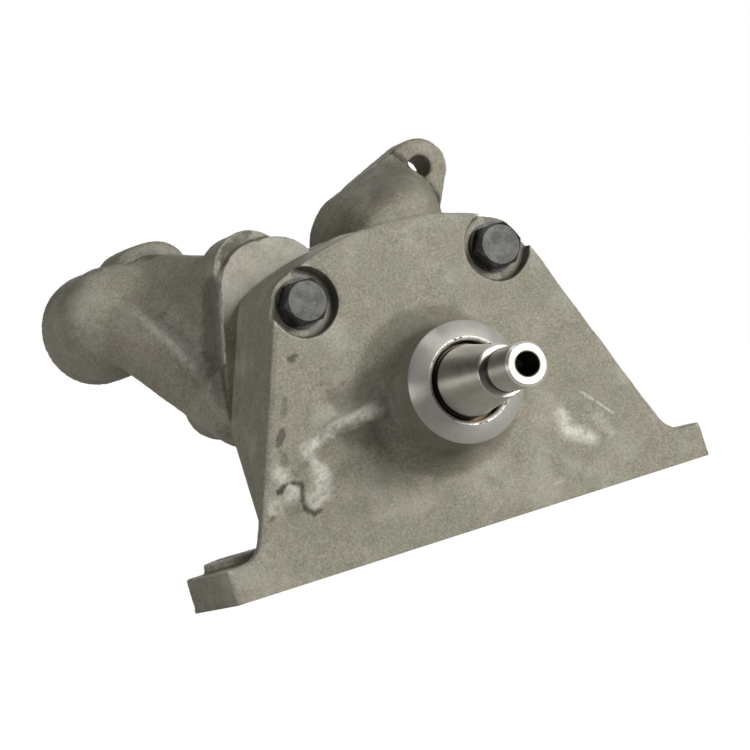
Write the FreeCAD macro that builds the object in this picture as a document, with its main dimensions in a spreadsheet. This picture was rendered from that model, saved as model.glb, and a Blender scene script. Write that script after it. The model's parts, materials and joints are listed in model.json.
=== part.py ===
"""Foot-mounted gear oil pump for an engine.

The origin is the centre of the foot's lower face. X runs along the foot, Y runs from
the drive end to the back, and Z is up. Lengths are millimetres. Depths are measured
back from the front face of the bracket plate, so a negative depth is in front of it.
"""
import FreeCAD
import Part
import Sketcher
import math
import os
from types import SimpleNamespace

Vector = FreeCAD.Vector

# Driving dimensions

SIZES = {
    # Foot of the bracket
    "foot_length": 180.0,
    "foot_depth": 45.0,
    "foot_height": 12.0,
    "foot_bolt_spread": 154.0,
    "foot_bolt_depth": 27.0,
    "foot_bolt_hole": 11.0,
    "foot_pad_radius": 11.0,
    "foot_pad_rise": 3.5,
    # Web of the bracket
    "web_depth": 40.0,
    "web_top": 107.9,
    "web_root_half": 78.0,
    "web_root_fillet": 9.0,
    "plate_thick": 5.5,
    "core_front_half": 71.0,
    "core_back_half": 60.5,
    "core_taper_end": 27.0,
    "cast_edge": 1.4,
    # Upper bolts, seen from the front
    "upper_bolt_x": 36.5,
    "upper_bolt_z": 89.6,
    "web_corner": 10.3,
    "spotface_radius": 12.0,
    "spotface_depth": 5.0,
    # Hexagon bolts
    "bolt_thread": 9.5,
    "bolt_clearance": 0.5,
    "bolt_across_flats": 14.3,
    "bolt_head": 6.4,
    "hexagon_chamfer_wide": 0.95,
    "hexagon_chamfer_end": 0.47,
    "bolt_engagement": 15.0,
    "washer_radius": 8.6,
    "washer_thick": 1.6,
    "tap_runout": 2.0,
    # Shaft boss of the bracket
    "shaft_z": 48.5,
    "boss_root_radius": 29.0,
    "boss_radius": 20.5,
    "boss_neck": 8.0,
    "nose_back": 26.0,
    "nose_front": 30.0,
    "nose_radius": 14.6,
    "bush_radius": 14.0,
    "bush_recess": 8.5,
    "bush_length": 21.0,
    "gallery_width": 11.0,
    "gallery_rise": 2.2,
    "gallery_end_x": 60.0,
    "gallery_end_z": 29.0,
    "gallery_round": 1.9,
    "rib_root_x": 16.0,
    "rib_root_z": 50.3,
    "rib_root_rise": 9.5,
    "rib_root_width": 7.6,
    "rib_end_x": 44.0,
    "rib_end_z": 44.6,
    "rib_end_rise": 2.6,
    "rib_end_width": 6.0,
    # Drive shaft
    "journal_radius": 12.4,
    "seat_radius": 12.2,
    "seat_back": 28.0,
    "seat_front": 57.8,
    "seat_front_radius": 8.85,
    "seat_chamfer": 0.4,
    "neck_radius": 7.4,
    "undercut_radius": 6.6,
    "undercut_length": 3.0,
    "tip_front": 78.6,
    "tip_bore": 8.2,
    "tip_bore_depth": 14.0,
    "tip_chamfer": 0.9,
    "gear_seat_radius": 10.0,
    "running_clearance": 0.03,
    # Pumping gears
    "gear_teeth": 14.0,
    "gear_module": 2.5,
    "gear_dedendum": 1.25,
    "gear_width": 40.0,
    "tooth_thinning": 0.12,
    "pressure_angle": 20.0,
    "side_clearance": 0.05,
    "tip_clearance": 0.08,
    "key_width": 5.0,
    "key_height": 5.0,
    "key_length": 22.0,
    "ring_thick": 1.5,
    "ring_step": 1.5,
    "idler_shaft_radius": 7.5,
    "idler_bush_radius": 9.5,
    "idler_shaft_seat": 22.0,
    # Pump housing; its depths are counted back from the joint with the bracket
    "flange_thick": 13.0,
    "case_wall": 5.8,
    "case_back_wall": 16.0,
    "rear_bush_length": 16.0,
    "plug_boss": 3.0,
    "plug_gap": 0.2,
    "cup_wall": 1.5,
    "rear_bolt_x": 25.0,
    "rear_bolt_z": 24.0,
    "rear_bolt_pad": 11.0,
    "lobe_x": 28.0,
    "lobe_z": 99.4,
    "lobe_radius": 16.2,
    "lug_x": 35.0,
    "lug_z": 106.3,
    "lug_radius": 14.0,
    "lug_start": 3.0,
    "lug_end": 22.0,
    "cheek_x": 49.2,
    "cheek_z": 61.0,
    "cheek_radius": 10.4,
    "dowel_radius": 4.0,
    "dowel_length": 14.0,
    "dowel_x": 48.0,
    "dowel_z": 62.0,
    # Suction side
    "inlet_x": 67.2,
    "inlet_z": 104.8,
    "inlet_outer": 20.0,
    "bulb_front": 50.0,
    "bulb_round": 13.0,
    "inlet_back": 90.0,
    "inlet_bore": 15.0,
    "inlet_bore_depth": 22.0,
    "pipe_x": 51.0,
    "pipe_z": 61.0,
    "pipe_radius": 14.0,
    "pipe_front": 7.0,
    "pipe_back": 60.0,
    "pipe_toe": 5.0,
    "pipe_bore": 9.5,
    "pocket_half": 10.0,
    "trunk_radius": 12.8,
    "trunk_end": 34.0,
    "tunnel_half": 8.5,
    "tunnel_start": 12.0,
    "tunnel_end": 28.0,
    "web_back": 62.0,
    "web_recess": 3.5,
    "clamp_x": 51.0,
    "clamp_z": 117.5,
    "clamp_width": 6.0,
    "clamp_radius": 11.5,
    "clamp_front": 66.0,
    # Delivery side
    "outlet_x": 36.1,
    "outlet_z": 112.1,
    "outlet_back": 57.0,
    "outlet_plate": 15.0,
    "outlet_radius": 18.0,
    "outlet_bore": 9.0,
    "outlet_bore_depth": 15.0,
    "outlet_ear_x": 16.3,
    "outlet_ear_z": 14.8,
    "outlet_ear_radius": 10.6,
    "outlet_hole": 4.2,
    "elbow_left": 4.2,
    "elbow_right": 55.2,
    "elbow_top_left": 119.5,
    "elbow_top_right": 140.0,
    "elbow_round_left": 20.0,
    "elbow_round_right": 17.0,
    "elbow_round_low": 5.6,
    "elbow_tip": 7.0,
    "elbow_waist": 18.0,
    "elbow_shoulder": 42.0,
    "elbow_back": 48.0,
    "tip_inset_right": 18.0,
    "tip_inset_left": 8.0,
    "tip_round": 7.0,
    "waist_inset_right": 10.5,
    "waist_inset_left": 3.5,
    "waist_round": 12.5,
    "gallery_x": 34.0,
    "gallery_radius": 6.5,
    "gallery_wall": 5.0,
    "gallery_depth": 26.5,
    # Relief valve
    "relief_x": 47.5,
    "relief_bore": 8.0,
    "relief_boss": 12.5,
    "relief_web_bottom": 40.0,
    "relief_web_narrow": 1.5,
    "relief_top": 80.0,
    "relief_bottom": 14.0,
    "seat_z": 58.0,
    "seat_thick": 4.0,
    "seat_bore": 5.2,
    "plunger_length": 16.0,
    "plunger_wall": 2.2,
    "plunger_crown": 3.3,
    "plunger_clearance": 0.03,
    "plug_thread_length": 10.0,
    "plug_head": 6.0,
    "plug_across_flats": 19.0,
    "plug_washer_radius": 11.5,
    "plug_washer_thick": 1.5,
    "spring_wire": 1.1,
    "spring_turns": 6.0,
    "spring_radius": 4.2,
    "spill_radius": 3.2,
    "spill_z": 47.0,
}

doc = FreeCAD.newDocument("engine_oil_pump")
sheet = doc.addObject("Spreadsheet::Sheet", "sizes")
for row, (name, number) in enumerate(SIZES.items(), 1):
    sheet.set(f"A{row}", name)
    sheet.set(f"B{row}", str(number))
    sheet.setAlias(f"B{row}", name)
doc.recompute()


class Size:
    """A length held twice: its number, and the expression that ties it to the sheet."""

    def __init__(self, value, text):
        self.value = value
        self.text = text

    def __add__(self, other):
        other = as_size(other)
        return Size(self.value + other.value, f"({self.text} + {other.text})")

    def __sub__(self, other):
        other = as_size(other)
        return Size(self.value - other.value, f"({self.text} - {other.text})")

    def __mul__(self, other):
        other = as_size(other)
        return Size(self.value * other.value, f"({self.text} * {other.text})")

    def __truediv__(self, other):
        other = as_size(other)
        return Size(self.value / other.value, f"({self.text} / {other.text})")

    def __neg__(self):
        return Size(-self.value, f"(-1 * {self.text})")


def as_size(item):
    return item if isinstance(item, Size) else Size(float(item), repr(float(item)))


def cell(alias):
    """The size that a cell of the sheet holds."""
    return Size(float(sheet.get(alias)), f"sizes.{alias}")


D = SimpleNamespace(**{alias: cell(alias) for alias in SIZES})
ZERO = as_size(0)

# Derived positions

FRONT = -D.foot_depth / 2
JOINT = FRONT + D.web_depth
CENTRE_DISTANCE = D.gear_teeth * D.gear_module
IDLER_Z = D.shaft_z + CENTRE_DISTANCE
MESH_Z = D.shaft_z + CENTRE_DISTANCE / 2
TIP_RADIUS = CENTRE_DISTANCE / 2 + D.gear_module
ROOT_RADIUS = CENTRE_DISTANCE / 2 - D.gear_dedendum * D.gear_module
CHAMBER_RADIUS = TIP_RADIUS + D.tip_clearance
CHAMBER_DEPTH = D.gear_width + D.side_clearance * 2
CASE_RADIUS = CHAMBER_RADIUS + D.case_wall
CASE_END = D.web_depth + CHAMBER_DEPTH + D.case_back_wall
TAP_RADIUS = D.bolt_thread / 2
CLEARANCE_RADIUS = D.bolt_thread / 2 + D.bolt_clearance
FOOT_BOLT_X = D.foot_bolt_spread / 2
GALLERY_Y = JOINT + D.gallery_depth

# How far a cut runs past the face it starts or ends on
PAST = as_size(1)


def bind(item, **values):
    """Tie properties of an object to sizes."""
    for path, size in values.items():
        item.setExpression(path, as_size(size).text)


def place(item, x, y, z, axis=None, angle=0):
    """Put an object at x, y, z, turned by an angle about an axis."""
    rotation = FreeCAD.Rotation(axis or Vector(0, 0, 1), angle)
    x, y, z = as_size(x), as_size(y), as_size(z)
    item.Placement = FreeCAD.Placement(Vector(x.value, y.value, z.value), rotation)
    for path, size in (("x", x), ("y", y), ("z", z)):
        item.setExpression(f"Placement.Base.{path}", size.text)


# Sketches

ROLES = {"front": "XZ_Plane", "top": "XY_Plane", "side": "YZ_Plane"}


def new_body(name):
    body = doc.addObject("PartDesign::Body", name)
    body.Label = name
    return body


def new_sketch(body, name, view, height, across=ZERO, up=ZERO):
    """A sketch seen from the front (x, z), the top (x, y) or the side (y, z).

    height is how far its plane stands along Y, Z or X; across and up move its origin.
    """
    role = ROLES[view]
    plane = next(item for item in body.Origin.OriginFeatures if item.Role == role)
    sketch = body.newObject("Sketcher::SketchObject", name)
    sketch.AttachmentSupport = [(plane, "")]
    sketch.MapMode = "FlatFace"
    lift = -height if view == "front" else height
    base = Vector(across.value, up.value, lift.value)
    sketch.AttachmentOffset = FreeCAD.Placement(base, FreeCAD.Rotation())
    for path, size in (("x", across), ("y", up), ("z", lift)):
        sketch.setExpression(f"AttachmentOffset.Base.{path}", size.text)
    return sketch


def constrain(sketch, kind, *parts, size=None):
    """Add a constraint, and tie its value to a size."""
    if size is None:
        return sketch.addConstraint(Sketcher.Constraint(kind, *parts))
    index = sketch.addConstraint(Sketcher.Constraint(kind, *parts, size.value))
    sketch.setExpression(f"Constraints[{index}]", size.text)
    return index


def pin(sketch, piece, point, x, y):
    """Hold one point of a sketch at x, y."""
    x, y = as_size(x), as_size(y)
    for kind, axis, size in (("DistanceX", -2, x), ("DistanceY", -1, y)):
        if size.value == 0 and size.text == ZERO.text:
            constrain(sketch, "PointOnObject", piece, point, axis)
        else:
            constrain(sketch, kind, -1, 1, piece, point, size=size)


def add_circle(sketch, x, y, radius):
    x, y, radius = as_size(x), as_size(y), as_size(radius)
    circle = Part.Circle(Vector(x.value, y.value, 0), Vector(0, 0, 1), radius.value)
    index = sketch.addGeometry(circle)
    pin(sketch, index, 3, x, y)
    constrain(sketch, "Radius", index, size=radius)


def add_point(sketch, x, y):
    """A helper point held at x, y."""
    index = sketch.addGeometry(Part.Point(Vector(x.value, y.value, 0)), True)
    pin(sketch, index, 1, x, y)
    return index


def corner_points(before, corner, after, radius):
    """Where an arc of a radius meets the two sides of a corner, and the arc's middle."""
    here = Vector(*corner, 0)
    back = (Vector(*before, 0) - here).normalize()
    ahead = (Vector(*after, 0) - here).normalize()
    half = back.getAngle(ahead) / 2
    reach = radius / math.tan(half)
    centre = here + (back + ahead).normalize() * (radius / math.sin(half))
    middle = centre + (here - centre).normalize() * radius
    return here + back * reach, middle, here + ahead * reach


def add_outline(sketch, corners):
    """A closed outline from (x, y) or (x, y, radius) corners, its corners rounded by arcs."""
    corners = [[as_size(item) for item in corner] for corner in corners]
    spots = [(corner[0].value, corner[1].value) for corner in corners]
    count = len(corners)
    starts, ends, arcs = [], [], []
    for i, corner in enumerate(corners):
        if len(corner) == 2:
            here = Vector(*spots[i], 0)
            starts.append(here)
            ends.append(here)
            arcs.append(None)
            continue
        first, middle, last = corner_points(
            spots[i - 1], spots[i], spots[(i + 1) % count], corner[2].value)
        ends.append(first)
        starts.append(last)
        arcs.append((first, middle, last))
    sides = []
    for i in range(count):
        far = ends[(i + 1) % count]
        sides.append(sketch.addGeometry(Part.LineSegment(starts[i], far)))
    for i, corner in enumerate(corners):
        before, after = sides[i - 1], sides[i]
        if arcs[i] is None:
            constrain(sketch, "Coincident", before, 2, after, 1)
            pin(sketch, after, 1, corner[0], corner[1])
            continue
        arc = sketch.addGeometry(Part.Arc(*arcs[i]))
        first_end, last_end = (1, 2) if turns_left(*arcs[i]) else (2, 1)
        constrain(sketch, "Tangent", before, 2, arc, first_end)
        constrain(sketch, "Tangent", after, 1, arc, last_end)
        constrain(sketch, "Radius", arc, size=corner[2])
        tip = add_point(sketch, corner[0], corner[1])
        constrain(sketch, "PointOnObject", tip, 1, before)
        constrain(sketch, "PointOnObject", tip, 1, after)


def turns_left(first, middle, last):
    """Whether an arc through three points runs counter-clockwise."""
    return (middle - first).cross(last - first).z > 0


def add_hull(sketch, one, two):
    """The outline round two circles (x, y, radius), with the common tangents as sides."""
    one = [as_size(item) for item in one]
    two = [as_size(item) for item in two]
    a = Vector(one[0].value, one[1].value, 0)
    b = Vector(two[0].value, two[1].value, 0)
    r, s = one[2].value, two[2].value
    along = (b - a).normalize()
    lean = math.acos((r - s) / a.distanceToPoint(b))
    heading = math.atan2(along.y, along.x)

    def spot(centre, radius, angle):
        return centre + Vector(math.cos(angle), math.sin(angle), 0) * radius

    far = Part.Arc(
        spot(b, s, heading - lean), spot(b, s, heading), spot(b, s, heading + lean))
    near = Part.Arc(
        spot(a, r, heading + lean), spot(a, r, heading + math.pi), spot(a, r, heading - lean))
    side_one = Part.LineSegment(spot(b, s, heading + lean), spot(a, r, heading + lean))
    side_two = Part.LineSegment(spot(a, r, heading - lean), spot(b, s, heading - lean))
    far_arc = sketch.addGeometry(far)
    upper = sketch.addGeometry(side_one)
    near_arc = sketch.addGeometry(near)
    lower = sketch.addGeometry(side_two)
    constrain(sketch, "Tangent", far_arc, 2, upper, 1)
    constrain(sketch, "Tangent", upper, 2, near_arc, 1)
    constrain(sketch, "Tangent", near_arc, 2, lower, 1)
    constrain(sketch, "Tangent", lower, 2, far_arc, 1)
    pin(sketch, far_arc, 3, two[0], two[1])
    pin(sketch, near_arc, 3, one[0], one[1])
    constrain(sketch, "Radius", far_arc, size=two[2])
    constrain(sketch, "Radius", near_arc, size=one[2])


# Features

def feature(body, kind, name, sketch, **properties):
    item = body.newObject(f"PartDesign::{kind}", name)
    item.Profile = sketch
    for key, value in properties.items():
        setattr(item, key, value)
    return item


def pad(body, name, sketch, length, reverse=False):
    item = feature(body, "Pad", name, sketch, Reversed=reverse, Length=length.value)
    bind(item, Length=length)
    return item


def pocket(body, name, sketch, length, reverse=False):
    item = feature(body, "Pocket", name, sketch, Reversed=reverse, Length=length.value)
    bind(item, Length=length)
    return item


def turn(body, name, sketch):
    """Turn a side view sketch about its own first axis."""
    return feature(body, "Revolution", name, sketch, ReferenceAxis=(sketch, ["H_Axis"]), Angle=360)


def bore(body, name, sketch):
    """Cut a side view sketch, turned about its own first axis."""
    return feature(body, "Groove", name, sketch, ReferenceAxis=(sketch, ["H_Axis"]), Angle=360)


def round_edges(body, name, base, radius, wanted):
    """Round the edges of a feature for which wanted(edge) is true."""
    doc.recompute()
    names = [f"Edge{i}" for i, edge in enumerate(base.Shape.Edges, 1) if wanted(edge)]
    item = body.newObject("PartDesign::Fillet", name)
    item.Base = (base, names)
    item.Radius = radius.value
    bind(item, Radius=radius)
    return item


def lies_at(edge, axis, level):
    """Whether an edge lies wholly in the plane across an axis at a level."""
    box = edge.BoundBox
    low, high = getattr(box, axis + "Min"), getattr(box, axis + "Max")
    return abs(low - level.value) < 0.01 and abs(high - level.value) < 0.01


def front_circle_cut(body, name, depth, length, spots, radius):
    """Drill circles of one radius at (x, z) spots, rearwards from a depth."""
    sketch = new_sketch(body, f"{name}_sketch", "front", FRONT + depth)
    for x, z in spots:
        add_circle(sketch, x, z, radius)
    return pocket(body, name, sketch, length)


# Mounting bracket

def web_outline(sketch):
    """The web as seen from the front: corners round the bolts, sides to the foot, arched top."""
    bx, bz, corner = D.upper_bolt_x.value, D.upper_bolt_z.value, D.web_corner.value
    root, floor = D.web_root_half.value, D.foot_height.value
    drop = bz - D.web_top.value
    arch = (bx ** 2 + drop ** 2 - corner ** 2) / (-2 * (drop + corner))
    middle = Vector(0, D.web_top.value - arch, 0)
    reach = math.hypot(root - bx, bz - floor)
    lean = math.atan2(floor - bz, root - bx) + math.acos(corner / reach)
    side = Vector(bx + corner * math.cos(lean), bz + corner * math.sin(lean), 0)
    up = (Vector(bx, bz, 0) - middle).normalize()
    shoulder = middle + up * arch
    halfway = Vector(bx, bz, 0) + (side - Vector(bx, bz, 0) + up * corner).normalize() * corner

    def mirror(point):
        return Vector(-point.x, point.y, 0)

    foot = Vector(root, floor, 0)
    fillet = D.web_root_fillet.value
    tip = Vector(root + 2 * fillet, floor, 0)
    first, bend, last = corner_points(
        (side.x, side.y), (foot.x, foot.y), (tip.x, tip.y), fillet)
    wide = Vector(D.foot_length.value / 2, floor, 0)
    low = Vector(D.foot_length.value / 2, 0, 0)
    add = sketch.addGeometry
    right_end = add(Part.LineSegment(low, wide))
    right_top = add(Part.LineSegment(wide, last))
    right_bend = add(Part.Arc(last, bend, first))
    right_side = add(Part.LineSegment(first, side))
    right_corner = add(Part.Arc(side, halfway, shoulder))
    arch_top = add(Part.Arc(shoulder, Vector(0, D.web_top.value, 0), mirror(shoulder)))
    left_corner = add(Part.Arc(mirror(shoulder), mirror(halfway), mirror(side)))
    left_side = add(Part.LineSegment(mirror(side), mirror(first)))
    left_bend = add(Part.Arc(mirror(first), mirror(bend), mirror(last)))
    left_top = add(Part.LineSegment(mirror(last), mirror(wide)))
    left_end = add(Part.LineSegment(mirror(wide), mirror(low)))
    bottom = add(Part.LineSegment(mirror(low), low))
    constrain(sketch, "Coincident", bottom, 2, right_end, 1)
    constrain(sketch, "Coincident", right_end, 2, right_top, 1)
    constrain(sketch, "Tangent", right_top, 2, right_bend, 2)
    constrain(sketch, "Tangent", right_bend, 1, right_side, 1)
    constrain(sketch, "Tangent", right_side, 2, right_corner, 1)
    constrain(sketch, "Tangent", right_corner, 2, arch_top, 1)
    constrain(sketch, "Tangent", arch_top, 2, left_corner, 1)
    constrain(sketch, "Tangent", left_corner, 2, left_side, 1)
    constrain(sketch, "Tangent", left_side, 2, left_bend, 2)
    constrain(sketch, "Tangent", left_bend, 1, left_top, 1)
    constrain(sketch, "Coincident", left_top, 2, left_end, 1)
    constrain(sketch, "Coincident", left_end, 2, bottom, 1)
    half_foot = D.foot_length / 2
    pin(sketch, right_end, 1, half_foot, ZERO)
    pin(sketch, right_end, 2, half_foot, D.foot_height)
    pin(sketch, left_end, 1, -half_foot, D.foot_height)
    pin(sketch, left_end, 2, -half_foot, ZERO)
    constrain(sketch, "Horizontal", right_top)
    constrain(sketch, "Horizontal", left_top)
    for side_sign, corner_arc, bend_arc, side_line in (
            (1, right_corner, right_bend, right_side),
            (-1, left_corner, left_bend, left_side)):
        pin(sketch, corner_arc, 3, D.upper_bolt_x * side_sign, D.upper_bolt_z)
        constrain(sketch, "Radius", corner_arc, size=D.web_corner)
        constrain(sketch, "Radius", bend_arc, size=D.web_root_fillet)
        root_point = add_point(sketch, D.web_root_half * side_sign, D.foot_height)
        constrain(sketch, "PointOnObject", root_point, 1, side_line)
    apex = add_point(sketch, ZERO, D.web_top)
    constrain(sketch, "PointOnObject", apex, 1, arch_top)


def rib_outline(sketch, z, rise, width, rounding):
    """A rib's section from the side, standing in front of the plate."""
    half = width / 2
    add_outline(sketch, [
        (FRONT - rise, z - half, rounding),
        (FRONT + PAST, z - half),
        (FRONT + PAST, z + half),
        (FRONT - rise, z + half, rounding),
    ])


def make_bracket():
    """Foot, web, shaft boss and oil gallery rib, cast in one piece and machined."""
    body = new_body("mounting_bracket")
    web = new_sketch(body, "web_outline", "front", FRONT)
    web_outline(web)
    pad(body, "web", web, D.web_depth, reverse=True)

    base = new_sketch(body, "foot_outline", "front", FRONT)
    half = D.foot_length / 2
    add_outline(base, [(half, 0), (half, D.foot_height), (-half, D.foot_height), (-half, 0)])
    pad(body, "foot", base, D.foot_depth, reverse=True)

    # The web keeps its full width only in the front plate, and tapers in to the core
    waste = new_sketch(body, "core_sides", "top", D.foot_height)
    plate_back = FRONT + D.plate_thick
    for side in (1, -1):
        outer = (half + PAST) * side
        add_outline(waste, [
            (D.core_front_half * side, plate_back, D.plate_thick),
            (D.core_back_half * side, FRONT + D.core_taper_end, D.foot_height),
            (D.core_back_half * side, JOINT + PAST),
            (outer, JOINT + PAST),
            (outer, plate_back),
        ])
    relieved = pocket(body, "core_relief", waste, D.web_top, reverse=True)

    def outer_edge(edge):
        return lies_at(edge, "Y", FRONT) and edge.BoundBox.ZMax > D.foot_height.value / 2

    softened = round_edges(body, "front_edge_round", relieved, D.cast_edge, outer_edge)

    pads = new_sketch(body, "foot_pad_circles", "top", D.foot_height)
    for side in (1, -1):
        add_circle(pads, FOOT_BOLT_X * side, FRONT + D.foot_bolt_depth, D.foot_pad_radius)
    pad(body, "foot_pads", pads, D.foot_pad_rise)

    rib = new_sketch(body, "gallery_outline", "front", FRONT - D.gallery_rise)
    half_rib = D.gallery_width / 2
    add_hull(rib, (-D.boss_radius, D.shaft_z - D.cast_edge, half_rib),
             (-D.gallery_end_x, D.gallery_end_z, half_rib))
    gallery = pad(body, "gallery_rib", rib, D.gallery_rise * 2, reverse=True)
    rib_face = FRONT - D.gallery_rise

    def rib_edge(edge):
        return lies_at(edge, "Y", rib_face)

    round_edges(body, "gallery_soft_edge", gallery, D.gallery_round, rib_edge)

    # The rib beside the boss falls away to the gallery
    root = new_sketch(body, "rib_root_outline", "side", -D.rib_root_x)
    rib_outline(root, D.rib_root_z, D.rib_root_rise, D.rib_root_width, D.gallery_round)
    end = new_sketch(body, "rib_end_outline", "side", -D.rib_end_x)
    rib_outline(end, D.rib_end_z, D.rib_end_rise, D.rib_end_width, D.gallery_round / 2)
    feature(body, "AdditiveLoft", "boss_rib", root, Sections=[end], Ruled=True)

    boss = new_sketch(body, "boss_section", "side", ZERO, up=D.shaft_z)
    inside = FRONT + D.plate_thick
    add_outline(boss, [
        (inside, 0),
        (inside, D.boss_root_radius),
        (FRONT, D.boss_root_radius),
        (FRONT - D.boss_neck, D.boss_radius, D.boss_neck),
        (FRONT - D.nose_back, D.boss_radius),
        (FRONT - D.nose_front, D.nose_radius),
        (FRONT - D.nose_front, 0),
    ])
    turn(body, "boss", boss)

    bush_bore = new_sketch(body, "shaft_bore_section", "side", ZERO, up=D.shaft_z)
    mouth = D.nose_radius - D.bush_radius
    add_outline(bush_bore, [
        (JOINT + PAST, 0),
        (JOINT + PAST, D.bush_radius),
        (FRONT - D.nose_front + mouth, D.bush_radius),
        (FRONT - D.nose_front, D.nose_radius - D.tip_clearance),
        (FRONT - D.nose_front - PAST, D.nose_radius - D.tip_clearance),
        (FRONT - D.nose_front - PAST, 0),
    ])
    bore(body, "shaft_bore", bush_bore)

    bolts = [(D.upper_bolt_x, D.upper_bolt_z), (-D.upper_bolt_x, D.upper_bolt_z)]
    front_circle_cut(body, "spotfaces", -D.cast_edge, D.spotface_depth + D.cast_edge,
                     bolts, D.spotface_radius)
    front_circle_cut(body, "upper_bolt_holes", ZERO, D.web_depth + PAST, bolts, CLEARANCE_RADIUS)

    lower = [(D.rear_bolt_x, D.rear_bolt_z), (-D.rear_bolt_x, D.rear_bolt_z)]
    tapped = D.bolt_engagement + D.tap_runout
    front_circle_cut(body, "lower_tapped_holes", D.web_depth - tapped, tapped + PAST,
                     lower, TAP_RADIUS)
    front_circle_cut(body, "idler_shaft_seat", D.web_depth - D.idler_shaft_seat,
                     D.idler_shaft_seat + PAST, [(ZERO, IDLER_Z)], D.idler_shaft_radius)
    dowels = [(D.dowel_x, D.dowel_z), (-D.dowel_x, D.dowel_z)]
    front_circle_cut(body, "dowel_seats", D.web_depth - D.dowel_length / 2,
                     D.dowel_length / 2 + PAST, dowels, D.dowel_radius)

    holes = new_sketch(body, "foot_hole_circles", "top", D.foot_height + D.foot_pad_rise + PAST)
    for side in (1, -1):
        add_circle(holes, FOOT_BOLT_X * side, FRONT + D.foot_bolt_depth, D.foot_bolt_hole / 2)
    pocket(body, "foot_holes", holes, D.foot_height + D.foot_pad_rise + PAST * 2)
    return body


# Pump housing

def elbow_outline(sketch, right_inset, left_inset, right_round, left_round):
    """The delivery elbow from the front, drawn in by insets on its free sides."""
    right = D.elbow_right - right_inset
    left = D.elbow_left + left_inset
    add_outline(sketch, [
        (right, IDLER_Z, D.elbow_round_low),
        (right, D.elbow_top_right - right_inset, right_round),
        (left, D.elbow_top_left - left_inset, left_round),
        (left, IDLER_Z, D.elbow_round_low),
    ])


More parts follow.
